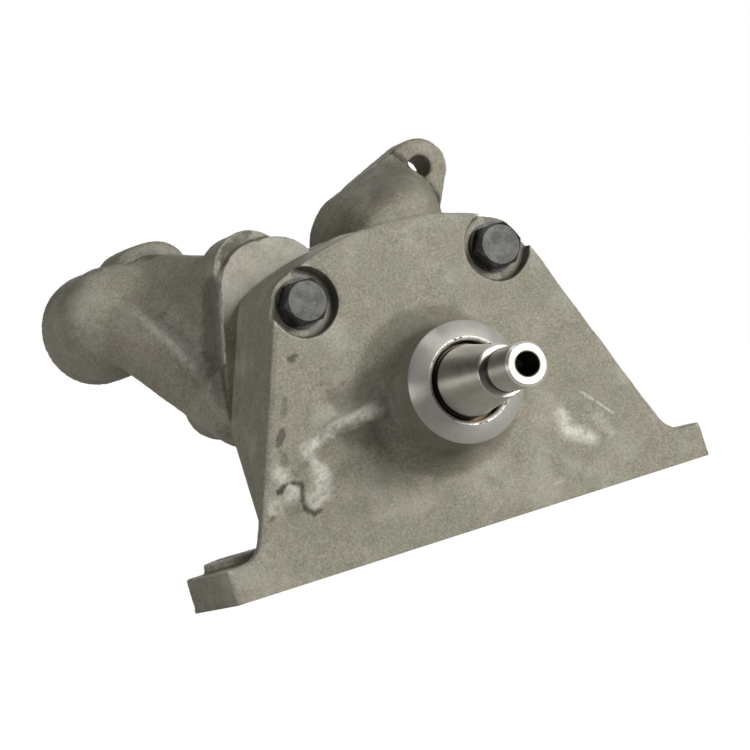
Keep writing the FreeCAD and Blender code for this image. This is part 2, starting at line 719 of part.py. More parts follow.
def make_housing():
    """Gear case with its flange, suction duct, delivery elbow and relief valve boss."""
    body = new_body("pump_housing")
    flange = new_sketch(body, "flange_outline", "front", JOINT)
    pad_reach = D.rear_bolt_pad
    low = D.rear_bolt_z - pad_reach
    add_outline(flange, [
        (D.rear_bolt_x + pad_reach, low, pad_reach),
        (D.dowel_x + pad_reach, D.dowel_z, pad_reach),
        (D.upper_bolt_x + pad_reach, D.upper_bolt_z + pad_reach / 2, pad_reach),
        (0, IDLER_Z + CASE_RADIUS - PAST, pad_reach),
        (-D.upper_bolt_x - pad_reach, D.upper_bolt_z + pad_reach / 2, pad_reach),
        (-D.dowel_x - pad_reach, D.dowel_z, pad_reach),
        (-D.rear_bolt_x - pad_reach, low, pad_reach),
    ])
    pad(body, "flange", flange, D.flange_thick, reverse=True)

    case = new_sketch(body, "case_outline", "front", JOINT)
    add_hull(case, (0, D.shaft_z, CASE_RADIUS), (0, IDLER_Z, CASE_RADIUS))
    pad(body, "case", case, CASE_END - D.web_depth, reverse=True)

    hub = new_sketch(body, "hub_circle", "front", FRONT + CASE_END)
    add_circle(hub, 0, D.shaft_z, D.bush_radius + D.case_wall)
    pad(body, "rear_hub", hub, D.plug_boss, reverse=True)

    # Machined lobe at the upper left, with a cast lug behind it
    lobe = new_sketch(body, "lobe_circle", "front", JOINT)
    add_circle(lobe, -D.lobe_x, D.lobe_z, D.lobe_radius)
    pad(body, "lobe", lobe, D.flange_thick, reverse=True)
    lug = new_sketch(body, "lug_circle", "front", JOINT + D.lug_start)
    add_circle(lug, -D.lug_x, D.lug_z, D.lug_radius)
    pad(body, "lug", lug, D.lug_end - D.lug_start, reverse=True)

    # Suction side: a trunk beside the case, a slanted pipe, and the round inlet at the back
    cheek = new_sketch(body, "cheek_outline", "front", JOINT)
    upper = (-D.lobe_x - D.cheek_radius / 2, D.lobe_z)
    add_hull(cheek, (*upper, D.lobe_radius), (-D.cheek_x, D.cheek_z, D.cheek_radius))
    pad(body, "cheek", cheek, D.flange_thick, reverse=True)
    trunk = new_sketch(body, "trunk_outline", "front", JOINT)
    add_hull(trunk, (0, MESH_Z, D.trunk_radius), (-D.pipe_x, MESH_Z, D.trunk_radius))
    pad(body, "trunk", trunk, D.trunk_end, reverse=True)
    pipe_y = JOINT + D.pipe_front
    toe = new_sketch(body, "pipe_toe_circle", "front", pipe_y - D.pipe_toe)
    add_circle(toe, -D.pipe_x, D.pipe_z, D.pipe_radius - D.pipe_toe)
    pipe = new_sketch(body, "pipe_front_circle", "front", pipe_y)
    add_circle(pipe, -D.pipe_x, D.pipe_z, D.pipe_radius)
    pipe_end = new_sketch(body, "pipe_back_circle", "front", JOINT + D.pipe_back)
    add_circle(pipe_end, -D.inlet_x, D.inlet_z, D.pipe_radius)
    feature(body, "AdditiveLoft", "pipe", toe, Sections=[pipe, pipe_end], Ruled=True)
    bulb = new_sketch(body, "bulb_section", "side", -D.inlet_x, up=D.inlet_z)
    add_outline(bulb, [
        (JOINT + D.inlet_back, 0),
        (JOINT + D.inlet_back, D.inlet_outer),
        (JOINT + D.bulb_front, D.inlet_outer, D.bulb_round),
        (JOINT + D.bulb_front, 0),
    ])
    turn(body, "bulb", bulb)

    # A recessed web fills the corner between the cheek, the pipe and the clamp boss
    web_start = new_sketch(body, "web_front_outline", "front", JOINT + D.flange_thick)
    add_hull(web_start, (*upper, D.lobe_radius - D.web_recess),
             (-D.cheek_x, D.cheek_z, D.cheek_radius - D.web_recess))
    web_end = new_sketch(body, "web_back_outline", "front", JOINT + D.web_back)
    add_hull(web_end, (-D.clamp_x, D.clamp_z, D.clamp_radius - D.web_recess),
             (-D.inlet_x, D.inlet_z, D.pipe_radius))
    feature(body, "AdditiveLoft", "suction_web", web_start, Sections=[web_end], Ruled=True)
    clamp = new_sketch(body, "clamp_outline", "front", JOINT + D.clamp_front)
    add_hull(clamp, (-D.clamp_x, D.clamp_z, D.clamp_radius),
             (-D.clamp_x + D.clamp_width, D.clamp_z, D.clamp_radius))
    pad(body, "clamp_boss", clamp, D.inlet_back - D.clamp_front, reverse=True)

    # Delivery elbow, closed at the front, with an oval two-bolt flange at the back
    tip = new_sketch(body, "elbow_tip_outline", "front", JOINT + D.elbow_tip)
    elbow_outline(tip, D.tip_inset_right, D.tip_inset_left, D.tip_round, D.tip_round)
    waist = new_sketch(body, "elbow_waist_outline", "front", JOINT + D.elbow_waist)
    elbow_outline(waist, D.waist_inset_right, D.waist_inset_left, D.waist_round, D.waist_round)
    shoulder = new_sketch(body, "elbow_shoulder_outline", "front", JOINT + D.elbow_shoulder)
    elbow_outline(shoulder, ZERO, ZERO, D.elbow_round_right, D.elbow_round_left)
    feature(body, "AdditiveLoft", "elbow_nose", tip, Sections=[waist, shoulder], Ruled=True)
    elbow = new_sketch(body, "elbow_outline", "front", JOINT + D.elbow_shoulder)
    elbow_outline(elbow, ZERO, ZERO, D.elbow_round_right, D.elbow_round_left)
    pad(body, "elbow", elbow, D.elbow_back - D.elbow_shoulder, reverse=True)
    for name, side in (("upper_ear", 1), ("lower_ear", -1)):
        ear = new_sketch(body, f"{name}_outline", "front", JOINT + D.outlet_back - D.outlet_plate)
        add_hull(ear, (D.outlet_x, D.outlet_z, D.outlet_radius),
                 (D.outlet_x + D.outlet_ear_x * side, D.outlet_z + D.outlet_ear_z * side,
                  D.outlet_ear_radius))
        pad(body, name, ear, D.outlet_plate, reverse=True)

    # Upright boss for the relief valve, tied to the case
    tower = new_sketch(body, "relief_circle_outer", "top", D.relief_bottom)
    add_circle(tower, D.relief_x, GALLERY_Y, D.relief_boss)
    pad(body, "relief_tower", tower, D.relief_top - D.relief_bottom)
    neck = new_sketch(body, "relief_neck_outline", "top", D.relief_web_bottom)
    add_hull(neck, (0, GALLERY_Y, D.relief_boss - D.relief_web_narrow),
             (D.relief_x, GALLERY_Y, D.relief_boss - D.relief_web_narrow))
    pad(body, "relief_neck", neck, D.relief_top - D.relief_web_narrow - D.relief_web_bottom)
    riser = new_sketch(body, "riser_outline", "top", D.shaft_z)
    add_circle(riser, D.gallery_x, GALLERY_Y, D.gallery_radius + D.gallery_wall)
    pad(body, "riser", riser, D.outlet_z - D.shaft_z)

    cut_housing(body)
    return body


def cut_housing(body):
    """Machine the chambers, passages and holes of the housing."""
    chamber = new_sketch(body, "drive_chamber_circle", "front", JOINT)
    add_circle(chamber, 0, D.shaft_z, CHAMBER_RADIUS)
    pocket(body, "drive_chamber", chamber, CHAMBER_DEPTH)
    chamber = new_sketch(body, "idler_chamber_circle", "front", JOINT)
    add_circle(chamber, 0, IDLER_Z, CHAMBER_RADIUS)
    pocket(body, "idler_chamber", chamber, CHAMBER_DEPTH)

    # Pockets beside the mesh: suction on the left, delivery on the right
    for name, side in (("suction_pocket", -1), ("delivery_pocket", 1)):
        recess = new_sketch(body, f"{name}_outline", "front", JOINT)
        add_hull(recess, (0, MESH_Z, D.pocket_half),
                 ((CHAMBER_RADIUS + D.gear_module) * side, MESH_Z, D.pocket_half))
        pocket(body, name, recess, CHAMBER_DEPTH)

    inlet_end = D.web_depth + D.inlet_back

    # Suction passage: a tunnel in the trunk, a slanted bore in the pipe, the inlet's bore
    tunnel = new_sketch(body, "tunnel_outline", "front", JOINT + D.tunnel_start)
    add_hull(tunnel, (-CHAMBER_RADIUS, MESH_Z, D.tunnel_half),
             (-D.pipe_x, MESH_Z, D.tunnel_half))
    pocket(body, "tunnel", tunnel, D.tunnel_end - D.tunnel_start)
    halfway = (D.tunnel_start + D.tunnel_end) / 2
    share = (halfway - D.pipe_front) / (D.pipe_back - D.pipe_front)
    low = new_sketch(body, "passage_front_circle", "front", JOINT + halfway)
    add_circle(low, -D.pipe_x - (D.inlet_x - D.pipe_x) * share,
               D.pipe_z + (D.inlet_z - D.pipe_z) * share, D.pipe_bore)
    high = new_sketch(body, "passage_back_circle", "front", JOINT + D.pipe_back)
    add_circle(high, -D.inlet_x, D.inlet_z, D.pipe_bore)
    feature(body, "SubtractiveLoft", "suction_passage", low, Sections=[high], Ruled=True)
    throat_start = D.web_depth + D.pipe_back - PAST * 3
    front_circle_cut(body, "inlet_throat", throat_start, inlet_end - D.inlet_bore_depth / 2
                     - throat_start, [(-D.inlet_x, D.inlet_z)], D.pipe_bore + PAST)
    front_circle_cut(body, "inlet_bore_cut", inlet_end - D.inlet_bore_depth,
                     D.inlet_bore_depth + PAST, [(-D.inlet_x, D.inlet_z)], D.inlet_bore)
    tapped = D.bolt_engagement
    front_circle_cut(body, "clamp_hole", inlet_end - tapped, tapped + PAST,
                     [(-D.clamp_x + D.clamp_width, D.clamp_z)], D.outlet_hole)

    outlet_end = D.web_depth + D.outlet_back
    front_circle_cut(body, "outlet_bore_cut", outlet_end - D.outlet_bore_depth,
                     D.outlet_bore_depth + PAST, [(D.outlet_x, D.outlet_z)], D.outlet_bore)
    front_circle_cut(body, "outlet_passage", D.web_depth + D.gallery_depth,
                     D.outlet_back - D.gallery_depth, [(D.outlet_x, D.outlet_z)],
                     D.gallery_radius)
    ears = [(D.outlet_x + D.outlet_ear_x * side, D.outlet_z + D.outlet_ear_z * side)
            for side in (1, -1)]
    front_circle_cut(body, "outlet_bolt_holes", outlet_end - D.outlet_plate,
                     D.outlet_plate + PAST, ears, D.outlet_hole)

    rise = new_sketch(body, "riser_circle", "top", MESH_Z)
    add_circle(rise, D.gallery_x, GALLERY_Y, D.gallery_radius)
    pocket(body, "riser_bore", rise, D.outlet_z - MESH_Z, reverse=True)
    cross = new_sketch(body, "cross_circle", "side", CHAMBER_RADIUS)
    add_circle(cross, GALLERY_Y, MESH_Z, D.gallery_radius)
    cross_end = D.relief_x + D.seat_bore + PAST
    pocket(body, "cross_bore", cross, cross_end - CHAMBER_RADIUS, reverse=True)

    relief = new_sketch(body, "relief_circle", "top", D.relief_bottom)
    add_circle(relief, D.relief_x, GALLERY_Y, D.relief_bore)
    pocket(body, "relief_bore_cut", relief, D.seat_z + D.seat_thick - D.relief_bottom,
           reverse=True)
    over = new_sketch(body, "over_seat_circle", "top", D.seat_z)
    add_circle(over, D.relief_x, GALLERY_Y, D.seat_bore)
    pocket(body, "over_seat_bore", over, MESH_Z - D.seat_z, reverse=True)
    spill = new_sketch(body, "spill_circle", "side", D.relief_x)
    add_circle(spill, GALLERY_Y, D.spill_z, D.spill_radius)
    pocket(body, "spill_hole", spill, D.relief_boss + PAST, reverse=True)

    bolts = [(D.upper_bolt_x, D.upper_bolt_z), (-D.upper_bolt_x, D.upper_bolt_z)]
    front_circle_cut(body, "upper_tapped_holes", D.web_depth,
                     D.bolt_engagement + D.tap_runout, bolts, TAP_RADIUS)
    lower = [(D.rear_bolt_x, D.rear_bolt_z), (-D.rear_bolt_x, D.rear_bolt_z)]
    front_circle_cut(body, "lower_bolt_holes", D.web_depth, D.flange_thick + PAST, lower,
                     CLEARANCE_RADIUS)
    dowels = [(D.dowel_x, D.dowel_z), (-D.dowel_x, D.dowel_z)]
    front_circle_cut(body, "dowel_holes", D.web_depth, D.dowel_length / 2, dowels,
                     D.dowel_radius)
    chamber_end = D.web_depth + CHAMBER_DEPTH
    front_circle_cut(body, "idler_shaft_hole", chamber_end, D.case_back_wall - D.case_wall,
                     [(ZERO, IDLER_Z)], D.idler_shaft_radius)
    front_circle_cut(body, "rear_bush_hole", chamber_end, D.case_back_wall + D.plug_boss + PAST,
                     [(ZERO, D.shaft_z)], D.bush_radius)


# Bushings and turned parts

def ring_section(body, start, length, inner, outer, z):
    """A plain sleeve along Y, from a depth, round an axis at height z."""
    section = new_sketch(body, f"{body.Label}_section", "side", ZERO, up=z)
    y0, y1 = FRONT + start, FRONT + start + length
    add_outline(section, [(y0, inner), (y1, inner), (y1, outer), (y0, outer)])
    return turn(body, f"{body.Label}_turned", section)


def make_sleeve(name, start, length, inner, outer, z):
    body = new_body(name)
    ring_section(body, start, length, inner, outer, z)
    return body


SHAFT_BORE = D.journal_radius + D.running_clearance
REAR_JOURNAL_END = D.web_depth + CHAMBER_DEPTH + D.rear_bush_length


def make_shaft():
    """Stepped shaft: pilot tip with a bore, tapered seat, journal, gear seat, rear journal."""
    body = new_body("drive_shaft")
    section = new_sketch(body, "shaft_section", "side", ZERO, up=D.shaft_z)
    tip = FRONT - D.tip_front
    shoulder = FRONT - D.seat_front
    add_outline(section, [
        (tip + D.tip_bore_depth, 0),
        (tip + D.tip_bore_depth, D.tip_bore / 2),
        (tip, D.tip_bore / 2),
        (tip, D.neck_radius - D.tip_chamfer),
        (tip + D.tip_chamfer, D.neck_radius),
        (shoulder - D.undercut_length, D.neck_radius),
        (shoulder - D.undercut_length, D.undercut_radius),
        (shoulder, D.undercut_radius),
        (shoulder, D.seat_front_radius - D.seat_chamfer),
        (shoulder + D.seat_chamfer, D.seat_front_radius),
        (FRONT - D.seat_back, D.seat_radius),
        (FRONT - D.seat_back, D.journal_radius),
        (JOINT, D.journal_radius),
        (JOINT, D.gear_seat_radius),
        (FRONT + REAR_JOURNAL_END, D.gear_seat_radius),
        (FRONT + REAR_JOURNAL_END, 0),
    ])
    turn(body, "shaft", section)
    groove = new_sketch(body, "ring_groove_section", "side", ZERO, up=D.shaft_z)
    y0 = FRONT + RING_DEPTH
    y1 = y0 + D.ring_thick
    add_outline(groove, [
        (y0, D.gear_seat_radius - D.ring_step),
        (y1, D.gear_seat_radius - D.ring_step),
        (y1, D.gear_seat_radius + PAST),
        (y0, D.gear_seat_radius + PAST),
    ])
    bore(body, "ring_groove", groove)
    slot = new_sketch(body, "keyway_outline", "top", D.shaft_z + KEY_FLOOR)
    key_box(slot)
    pocket(body, "keyway", slot, D.key_height + PAST, reverse=True)
    return body


# The key reaches half way into the rim that the gear has under its teeth
KEY_TOP = (ROOT_RADIUS + D.gear_seat_radius) / 2
KEY_FLOOR = KEY_TOP - D.key_height
KEY_START = D.web_depth + D.side_clearance + (D.gear_width - D.key_length) / 2
RING_DEPTH = D.web_depth + D.side_clearance + D.gear_width - D.ring_thick


def key_box(sketch):
    """The key seen from the top."""
    half = D.key_width / 2
    y0 = FRONT + KEY_START
    y1 = y0 + D.key_length
    add_outline(sketch, [(half, y0), (half, y1), (-half, y1), (-half, y0)])


def make_key():
    body = new_body("drive_key")
    outline = new_sketch(body, "key_outline", "top", D.shaft_z + KEY_FLOOR)
    key_box(outline)
    pad(body, "key", outline, D.key_height)
    return body


# Gears

def involute_flank(base, start, end, count=4):
    """Points of an involute of a base circle from one radius to another."""
    points = []
    for i in range(count):
        radius = start + (end - start) * i / (count - 1)
        roll = math.sqrt(max((radius / base) ** 2 - 1, 0))
        angle = roll - math.atan(roll)
        points.append((radius, angle))
    return points


def gear_solid(width, hole, sink, phase, keyway):
    """A spur gear about Z, with one tooth's middle at the phase angle.

    sink is the radius of the shallow counterbore in its first face.
    """
    teeth = round(D.gear_teeth.value)
    pitch = CENTRE_DISTANCE.value / 2
    base = pitch * math.cos(math.radians(D.pressure_angle.value))
    tip = TIP_RADIUS.value
    root = ROOT_RADIUS.value
    roll = math.sqrt((pitch / base) ** 2 - 1)
    half_tooth = math.pi / (2 * teeth) - D.tooth_thinning.value / (2 * pitch)
    half_base = half_tooth + roll - math.atan(roll)
    flank = involute_flank(base, max(base, root), tip)

    def spot(radius, angle):
        return Vector(radius * math.cos(angle), radius * math.sin(angle), 0)

    edges = []
    for tooth in range(teeth):
        middle = phase + 2 * math.pi * tooth / teeth
        gap_middle = middle + math.pi / teeth
        rising = [spot(r, middle - half_base + a) for r, a in flank]
        falling = [spot(r, middle + half_base - a) for r, a in reversed(flank)]
        foot_in = spot(root, middle - half_base)
        foot_out = spot(root, middle + half_base)
        next_in = spot(root, middle + 2 * math.pi / teeth - half_base)
        for points in (rising, falling):
            curve = Part.BSplineCurve()
            curve.interpolate(points)
            points.append(curve.toShape())
        edges.append(Part.LineSegment(foot_in, rising[0]).toShape())
        edges.append(rising[-1])
        edges.append(Part.Arc(rising[-2], spot(tip, middle), falling[0]).toShape())
        edges.append(falling[-1])
        edges.append(Part.LineSegment(falling[-2], foot_out).toShape())
        edges.append(Part.Arc(foot_out, spot(root, gap_middle), next_in).toShape())
    blank = Part.Face(Part.Wire(Part.__sortEdges__(edges))).extrude(Vector(0, 0, width))
    blank = blank.cut(Part.makeCylinder(hole, width))
    blank = blank.cut(Part.makeCylinder(sink, D.ring_thick.value))
    if keyway:
        slot = Part.makeBox(D.key_width.value, KEY_TOP.value, width)
        slot.translate(Vector(-D.key_width.value / 2, 0, 0))
        blank = blank.cut(slot)
    return blank


def make_gear(name, z, hole, sink, phase, keyway):
    gear = doc.addObject("Part::Feature", name)
    gear.Label = name
    # The gear is drawn about Z; turned so that its axis is Y and its second axis is up
    gear.Shape = gear_solid(D.gear_width.value, hole.value, sink.value, phase, keyway)
    place(gear, ZERO, JOINT + D.side_clearance + D.gear_width, z, Vector(1, 0, 0), 90)
    return gear


# Fasteners

def hex_bolt(name, x, z, seat, forward, across, head, thread, length):
    """Hexagon bolt along Y with its head's underside at a depth.

    forward is 1 where the shank runs to the back, and -1 where it runs to the front.
    """
    away = 90 * forward
    prism = doc.addObject("Part::Prism", f"{name}_hexagon")
    prism.Polygon = 6
    bind(prism, Circumradius=across / math.sqrt(3), Height=head)
    cone = doc.addObject("Part::Cone", f"{name}_chamfer")
    bind(cone, Radius1=across * D.hexagon_chamfer_wide, Radius2=across * D.hexagon_chamfer_end,
         Height=head)
    shaped = doc.addObject("Part::Common", f"{name}_head")
    shaped.Base = prism
    shaped.Tool = cone
    shank = doc.addObject("Part::Cylinder", f"{name}_shank")
    bind(shank, Radius=thread / 2, Height=length + head / 2)
    place(shank, ZERO, ZERO, -length)
    bolt = doc.addObject("Part::Fuse", name)
    bolt.Base = shaped
    bolt.Tool = shank
    place(bolt, x, FRONT + seat, z, Vector(1, 0, 0), away)
    return bolt


def flat_ring(name, x, y, z, inner, outer, thick, axis, angle):
    """A washer whose first face is at x, y, z."""
    disc = doc.addObject("Part::Cylinder", f"{name}_disc")
    bind(disc, Radius=outer, Height=thick)
    hole = doc.addObject("Part::Cylinder", f"{name}_hole")
    bind(hole, Radius=inner, Height=thick)
    ring = doc.addObject("Part::Cut", name)
    ring.Base = disc
    ring.Tool = hole
    place(ring, x, y, z, axis, angle)
    return ring


def group(name, items):
    """Identical fasteners as one node."""
    item = doc.addObject("Part::Compound", name)
    item.Label = name
    item.Links = items
    return item


def make_fasteners():
    upper_seat = D.spotface_depth
    upper, upper_washers = [], []
    for i, side in enumerate((-1, 1)):
        x = D.upper_bolt_x * side
        under = upper_seat - D.washer_thick
        shank = D.web_depth - under + D.bolt_engagement
        upper.append(hex_bolt(f"upper_bolt_{i}", x, D.upper_bolt_z, under, 1,
                              D.bolt_across_flats, D.bolt_head, D.bolt_thread, shank))
        upper_washers.append(flat_ring(
            f"upper_washer_{i}", x, FRONT + upper_seat, D.upper_bolt_z, CLEARANCE_RADIUS,
            D.washer_radius, D.washer_thick, Vector(1, 0, 0), 90))
    back = D.web_depth + D.flange_thick
    lower, lower_washers = [], []
    for i, side in enumerate((-1, 1)):
        x = D.rear_bolt_x * side
        under = back + D.washer_thick
        shank = D.flange_thick + D.washer_thick + D.bolt_engagement
        lower.append(hex_bolt(f"lower_bolt_{i}", x, D.rear_bolt_z, under, -1,
                              D.bolt_across_flats, D.bolt_head, D.bolt_thread, shank))
        lower_washers.append(flat_ring(
            f"lower_washer_{i}", x, FRONT + back, D.rear_bolt_z, CLEARANCE_RADIUS,
            D.washer_radius, D.washer_thick, Vector(1, 0, 0), -90))
    dowels = []
    for i, side in enumerate((-1, 1)):
        pin_solid = doc.addObject("Part::Cylinder", f"dowel_{i}")
        bind(pin_solid, Radius=D.dowel_radius, Height=D.dowel_length)
        place(pin_solid, D.dowel_x * side, JOINT - D.dowel_length / 2, D.dowel_z,
              Vector(1, 0, 0), -90)
        dowels.append(pin_solid)
    return [
        group("upper_bolts", upper),
        group("upper_bolt_washers", upper_washers),
        group("lower_bolts", lower),
        group("lower_bolt_washers", lower_washers),
        group("dowel_pins", dowels),
    ]


# Idler and rear end

def make_idler_shaft():
    body = new_body("idler_shaft")
    section = new_sketch(body, "idler_shaft_section", "side", ZERO, up=IDLER_Z)
    y0 = JOINT - D.idler_shaft_seat
    y1 = JOINT + CHAMBER_DEPTH + D.case_back_wall - D.case_wall
    add_outline(section, [
        (y0, 0),
        (y1, 0),
        (y1, D.idler_shaft_radius),
        (y0, D.idler_shaft_radius),
    ])
    turn(body, "idler_pin", section)
    return body


def make_core_plug():
    """Cup plug that closes the bore behind the rear bushing."""
    body = new_body("rear_core_plug")
    section = new_sketch(body, "core_plug_section", "side", ZERO, up=D.shaft_z)
    y0 = FRONT + REAR_JOURNAL_END + D.plug_gap
    y1 = FRONT + CASE_END + D.plug_boss
    wall = D.cup_wall
    add_outline(section, [
        (y0, 0),
        (y0, D.bush_radius),
        (y1, D.bush_radius),
        (y1, D.bush_radius - wall),
        (y0 + wall, D.bush_radius - wall),
        (y0 + wall, 0),
    ])
    turn(body, "cup", section)
    return body


def make_retaining_ring():
    """Ring that holds the drive gear on its seat, sunk in the gear's rear face."""
    return make_sleeve("gear_retaining_ring", RING_DEPTH, D.ring_thick,
                       D.gear_seat_radius - D.ring_step, D.gear_seat_radius + D.ring_step,
                       D.shaft_z)


# Relief valve

PLUNGER_TOP = D.seat_z
PLUNGER_BOTTOM = D.seat_z - D.plunger_length
PLUG_TOP = D.relief_bottom + D.plug_thread_length


def upright_section(body, name, points):
    """A section to turn about an upright axis through the relief valve."""
    section = new_sketch(body, name, "front", GALLERY_Y, across=D.relief_x)
    add_outline(section, points)
    return feature(body, "Revolution", f"{name}_turned", section,
                   ReferenceAxis=(section, ["V_Axis"]), Angle=360)


def make_relief_seat():
    body = new_body("relief_valve_seat")
    upright_section(body, "seat_section", [
        (D.seat_bore, D.seat_z),
        (D.relief_bore, D.seat_z),
        (D.relief_bore, D.seat_z + D.seat_thick),
        (D.seat_bore, D.seat_z + D.seat_thick),
    ])
    return body


def make_plunger():
    """Hollow plunger, closed at the top, open to the spring below."""
    body = new_body("relief_plunger")
    outer = D.relief_bore - D.plunger_clearance
    inner = outer - D.plunger_wall
    top = PLUNGER_TOP - D.side_clearance
    upright_section(body, "plunger_section", [
        (0, top),
        (outer - D.tip_chamfer, top),
        (outer, top - D.tip_chamfer),
        (outer, PLUNGER_BOTTOM),
        (inner, PLUNGER_BOTTOM),
        (inner, top - D.plunger_crown),
        (0, top - D.plunger_crown),
    ])
    return body


def make_plug():
    """Screwed plug with a hexagon head under the boss."""
    hexagon = doc.addObject("Part::Prism", "plug_hexagon")
    hexagon.Polygon = 6
    bind(hexagon, Circumradius=D.plug_across_flats / math.sqrt(3), Height=D.plug_head)
    cone = doc.addObject("Part::Cone", "plug_chamfer")
    bind(cone, Radius1=D.plug_across_flats * D.hexagon_chamfer_end,
         Radius2=D.plug_across_flats * D.hexagon_chamfer_wide, Height=D.plug_head)
    head = doc.addObject("Part::Common", "plug_head_form")
    head.Base = hexagon
    head.Tool = cone
    place(head, D.relief_x, GALLERY_Y, D.relief_bottom - D.plug_washer_thick - D.plug_head)
    stem = doc.addObject("Part::Cylinder", "plug_stem")
    bind(stem, Radius=D.relief_bore, Height=PLUG_TOP - D.relief_bottom + D.plug_washer_thick)
    place(stem, D.relief_x, GALLERY_Y, D.relief_bottom - D.plug_washer_thick)
    plug = doc.addObject("Part::Fuse", "relief_valve_plug")
    plug.Label = "relief_valve_plug"
    plug.Base = head
    plug.Tool = stem
    washer = flat_ring("relief_plug_washer", D.relief_x, GALLERY_Y,
                       D.relief_bottom - D.plug_washer_thick, D.relief_bore,
                       D.plug_washer_radius, D.plug_washer_thick, Vector(0, 0, 1), 0)
    washer.Label = "relief_plug_washer"
    return [plug, washer]


def make_spring():
    """Coil spring between the plug and the inside of the plunger."""
    spring = doc.addObject("Part::Feature", "relief_spring")
    spring.Label = "relief_spring"
    wire = D.spring_wire.value
    bottom = PLUG_TOP.value + wire
    top = PLUNGER_TOP.value - D.side_clearance.value - D.plunger_crown.value - wire
    rise = top - bottom
    path = Part.makeHelix(rise / D.spring_turns.value, rise, D.spring_radius.value)
    start = Vector(D.spring_radius.value, 0, 0)
    ring = Part.Wire(Part.makeCircle(wire, start, Vector(0, 1, 0)))
    coil = Part.Wire(path).makePipeShell([ring], True, True)
    spring.Shape = coil
    place(spring, D.relief_x, GALLERY_Y, PLUG_TOP + D.spring_wire)
    return spring


nodes = [
    make_bracket(),
    make_housing(),
    make_sleeve("front_shaft_bushing", D.bush_recess - D.nose_front, D.bush_length,
                SHAFT_BORE, D.bush_radius, D.shaft_z),
    make_sleeve("middle_shaft_bushing", D.web_depth - D.bush_length, D.bush_length,
                SHAFT_BORE, D.bush_radius, D.shaft_z),
    make_sleeve("rear_shaft_bushing", D.web_depth + CHAMBER_DEPTH, D.rear_bush_length,
                D.gear_seat_radius + D.running_clearance, D.bush_radius, D.shaft_z),
    make_shaft(),
    make_key(),
    make_gear("drive_gear", D.shaft_z, D.gear_seat_radius, D.gear_seat_radius + D.ring_step,
              math.pi / 2, True),
    make_retaining_ring(),
    make_gear("idler_gear", IDLER_Z, D.idler_bush_radius, D.idler_bush_radius,
              math.pi / 2 + math.pi / D.gear_teeth.value, False),
    make_sleeve("idler_bushing", D.web_depth + D.side_clearance, D.gear_width,
                D.idler_shaft_radius + D.running_clearance, D.idler_bush_radius, IDLER_Z),
    make_idler_shaft(),
    make_core_plug(),
    make_relief_seat(),
    make_plunger(),
    make_spring(),
]
nodes += make_fasteners()
nodes += make_plug()

doc.recompute()

faults = [item.Name for item in doc.Objects if {"Invalid", "Error"} & set(item.State)]
for node in nodes:
    if node.Shape.isNull() or not node.Shape.isValid():
        faults.append(node.Label)
if faults:
    raise RuntimeError("not built: " + ", ".join(faults))

os.makedirs("parts", exist_ok=True)
for node in nodes:
    node.Shape.exportStep(f"parts/{node.Label}.step")
    print(f"{node.Label}: {len(node.Shape.Solids)} solid, {node.Shape.Volume:.0f} mm3")
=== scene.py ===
"""Looks of the foot-mounted gear oil pump: castings, turned steel, bolts, light and camera.

Lengths are metres. Depths are counted back from the bracket's front face, as on a drawing.
"""

import json
import math

import bpy
import numpy as np
from mathutils import Matrix, Vector, noise


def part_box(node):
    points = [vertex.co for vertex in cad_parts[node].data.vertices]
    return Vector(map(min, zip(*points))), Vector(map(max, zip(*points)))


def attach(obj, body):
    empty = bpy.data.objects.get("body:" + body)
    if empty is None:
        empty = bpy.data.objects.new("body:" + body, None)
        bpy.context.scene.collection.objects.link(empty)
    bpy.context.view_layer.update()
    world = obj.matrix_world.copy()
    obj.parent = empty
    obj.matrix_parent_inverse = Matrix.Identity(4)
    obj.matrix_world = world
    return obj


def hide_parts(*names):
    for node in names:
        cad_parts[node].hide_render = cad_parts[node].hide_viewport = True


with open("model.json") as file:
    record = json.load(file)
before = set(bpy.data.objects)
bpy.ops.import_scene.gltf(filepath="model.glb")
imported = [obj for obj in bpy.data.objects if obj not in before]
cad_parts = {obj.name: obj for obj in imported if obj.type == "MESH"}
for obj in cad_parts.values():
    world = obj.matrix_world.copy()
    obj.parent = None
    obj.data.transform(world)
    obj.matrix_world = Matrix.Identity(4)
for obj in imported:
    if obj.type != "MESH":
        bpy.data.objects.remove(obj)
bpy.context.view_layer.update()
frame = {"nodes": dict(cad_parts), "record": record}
scene = bpy.context.scene
MM = 0.001

# Places that the looks need, read from the frame. The foot reaches as far in front of
# the origin as behind it, so its back gives the place of the front face.

bracket_low, bracket_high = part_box("mounting_bracket")
washers_low, washers_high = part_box("upper_bolt_washers")
dowels_low, dowels_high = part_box("dowel_pins")
idler_low, idler_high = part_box("idler_gear")
housing_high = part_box("pump_housing")[1]
bush_low, bush_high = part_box("front_shaft_bushing")

FRONT = -bracket_high.y
JOINT = (dowels_low.y + dowels_high.y) / 2
SHAFT_Z = (bush_low.z + bush_high.z) / 2
IDLER_Z = (idler_low.z + idler_high.z) / 2
BUSH_RADIUS = (bush_high.z - bush_low.z) / 2
WASHER_RADIUS = (washers_high.z - washers_low.z) / 2
BOLT_X = (washers_high.x - washers_low.x) / 2 - WASHER_RADIUS
BOLT_Z = (washers_high.z + washers_low.z) / 2
NOSE_FRONT = bracket_low.y


def smooth_step(low, high, value):
    """0 below low, 1 above high, and a smooth rise between."""
    share = np.clip((value - low) / (high - low), 0, 1)
    return share * share * (3 - 2 * share)


# Castings

VOXEL = 0.5 * MM
SOFTENING = 16
GRAIN_HEIGHT = 0.10 * MM
GRAIN_SIZE = 1.3 * MM
WAVE_HEIGHT = 0.30 * MM
WAVE_SIZE = 9 * MM
EDGE_START = 0.10 * MM
EDGE_FULL = 0.45 * MM


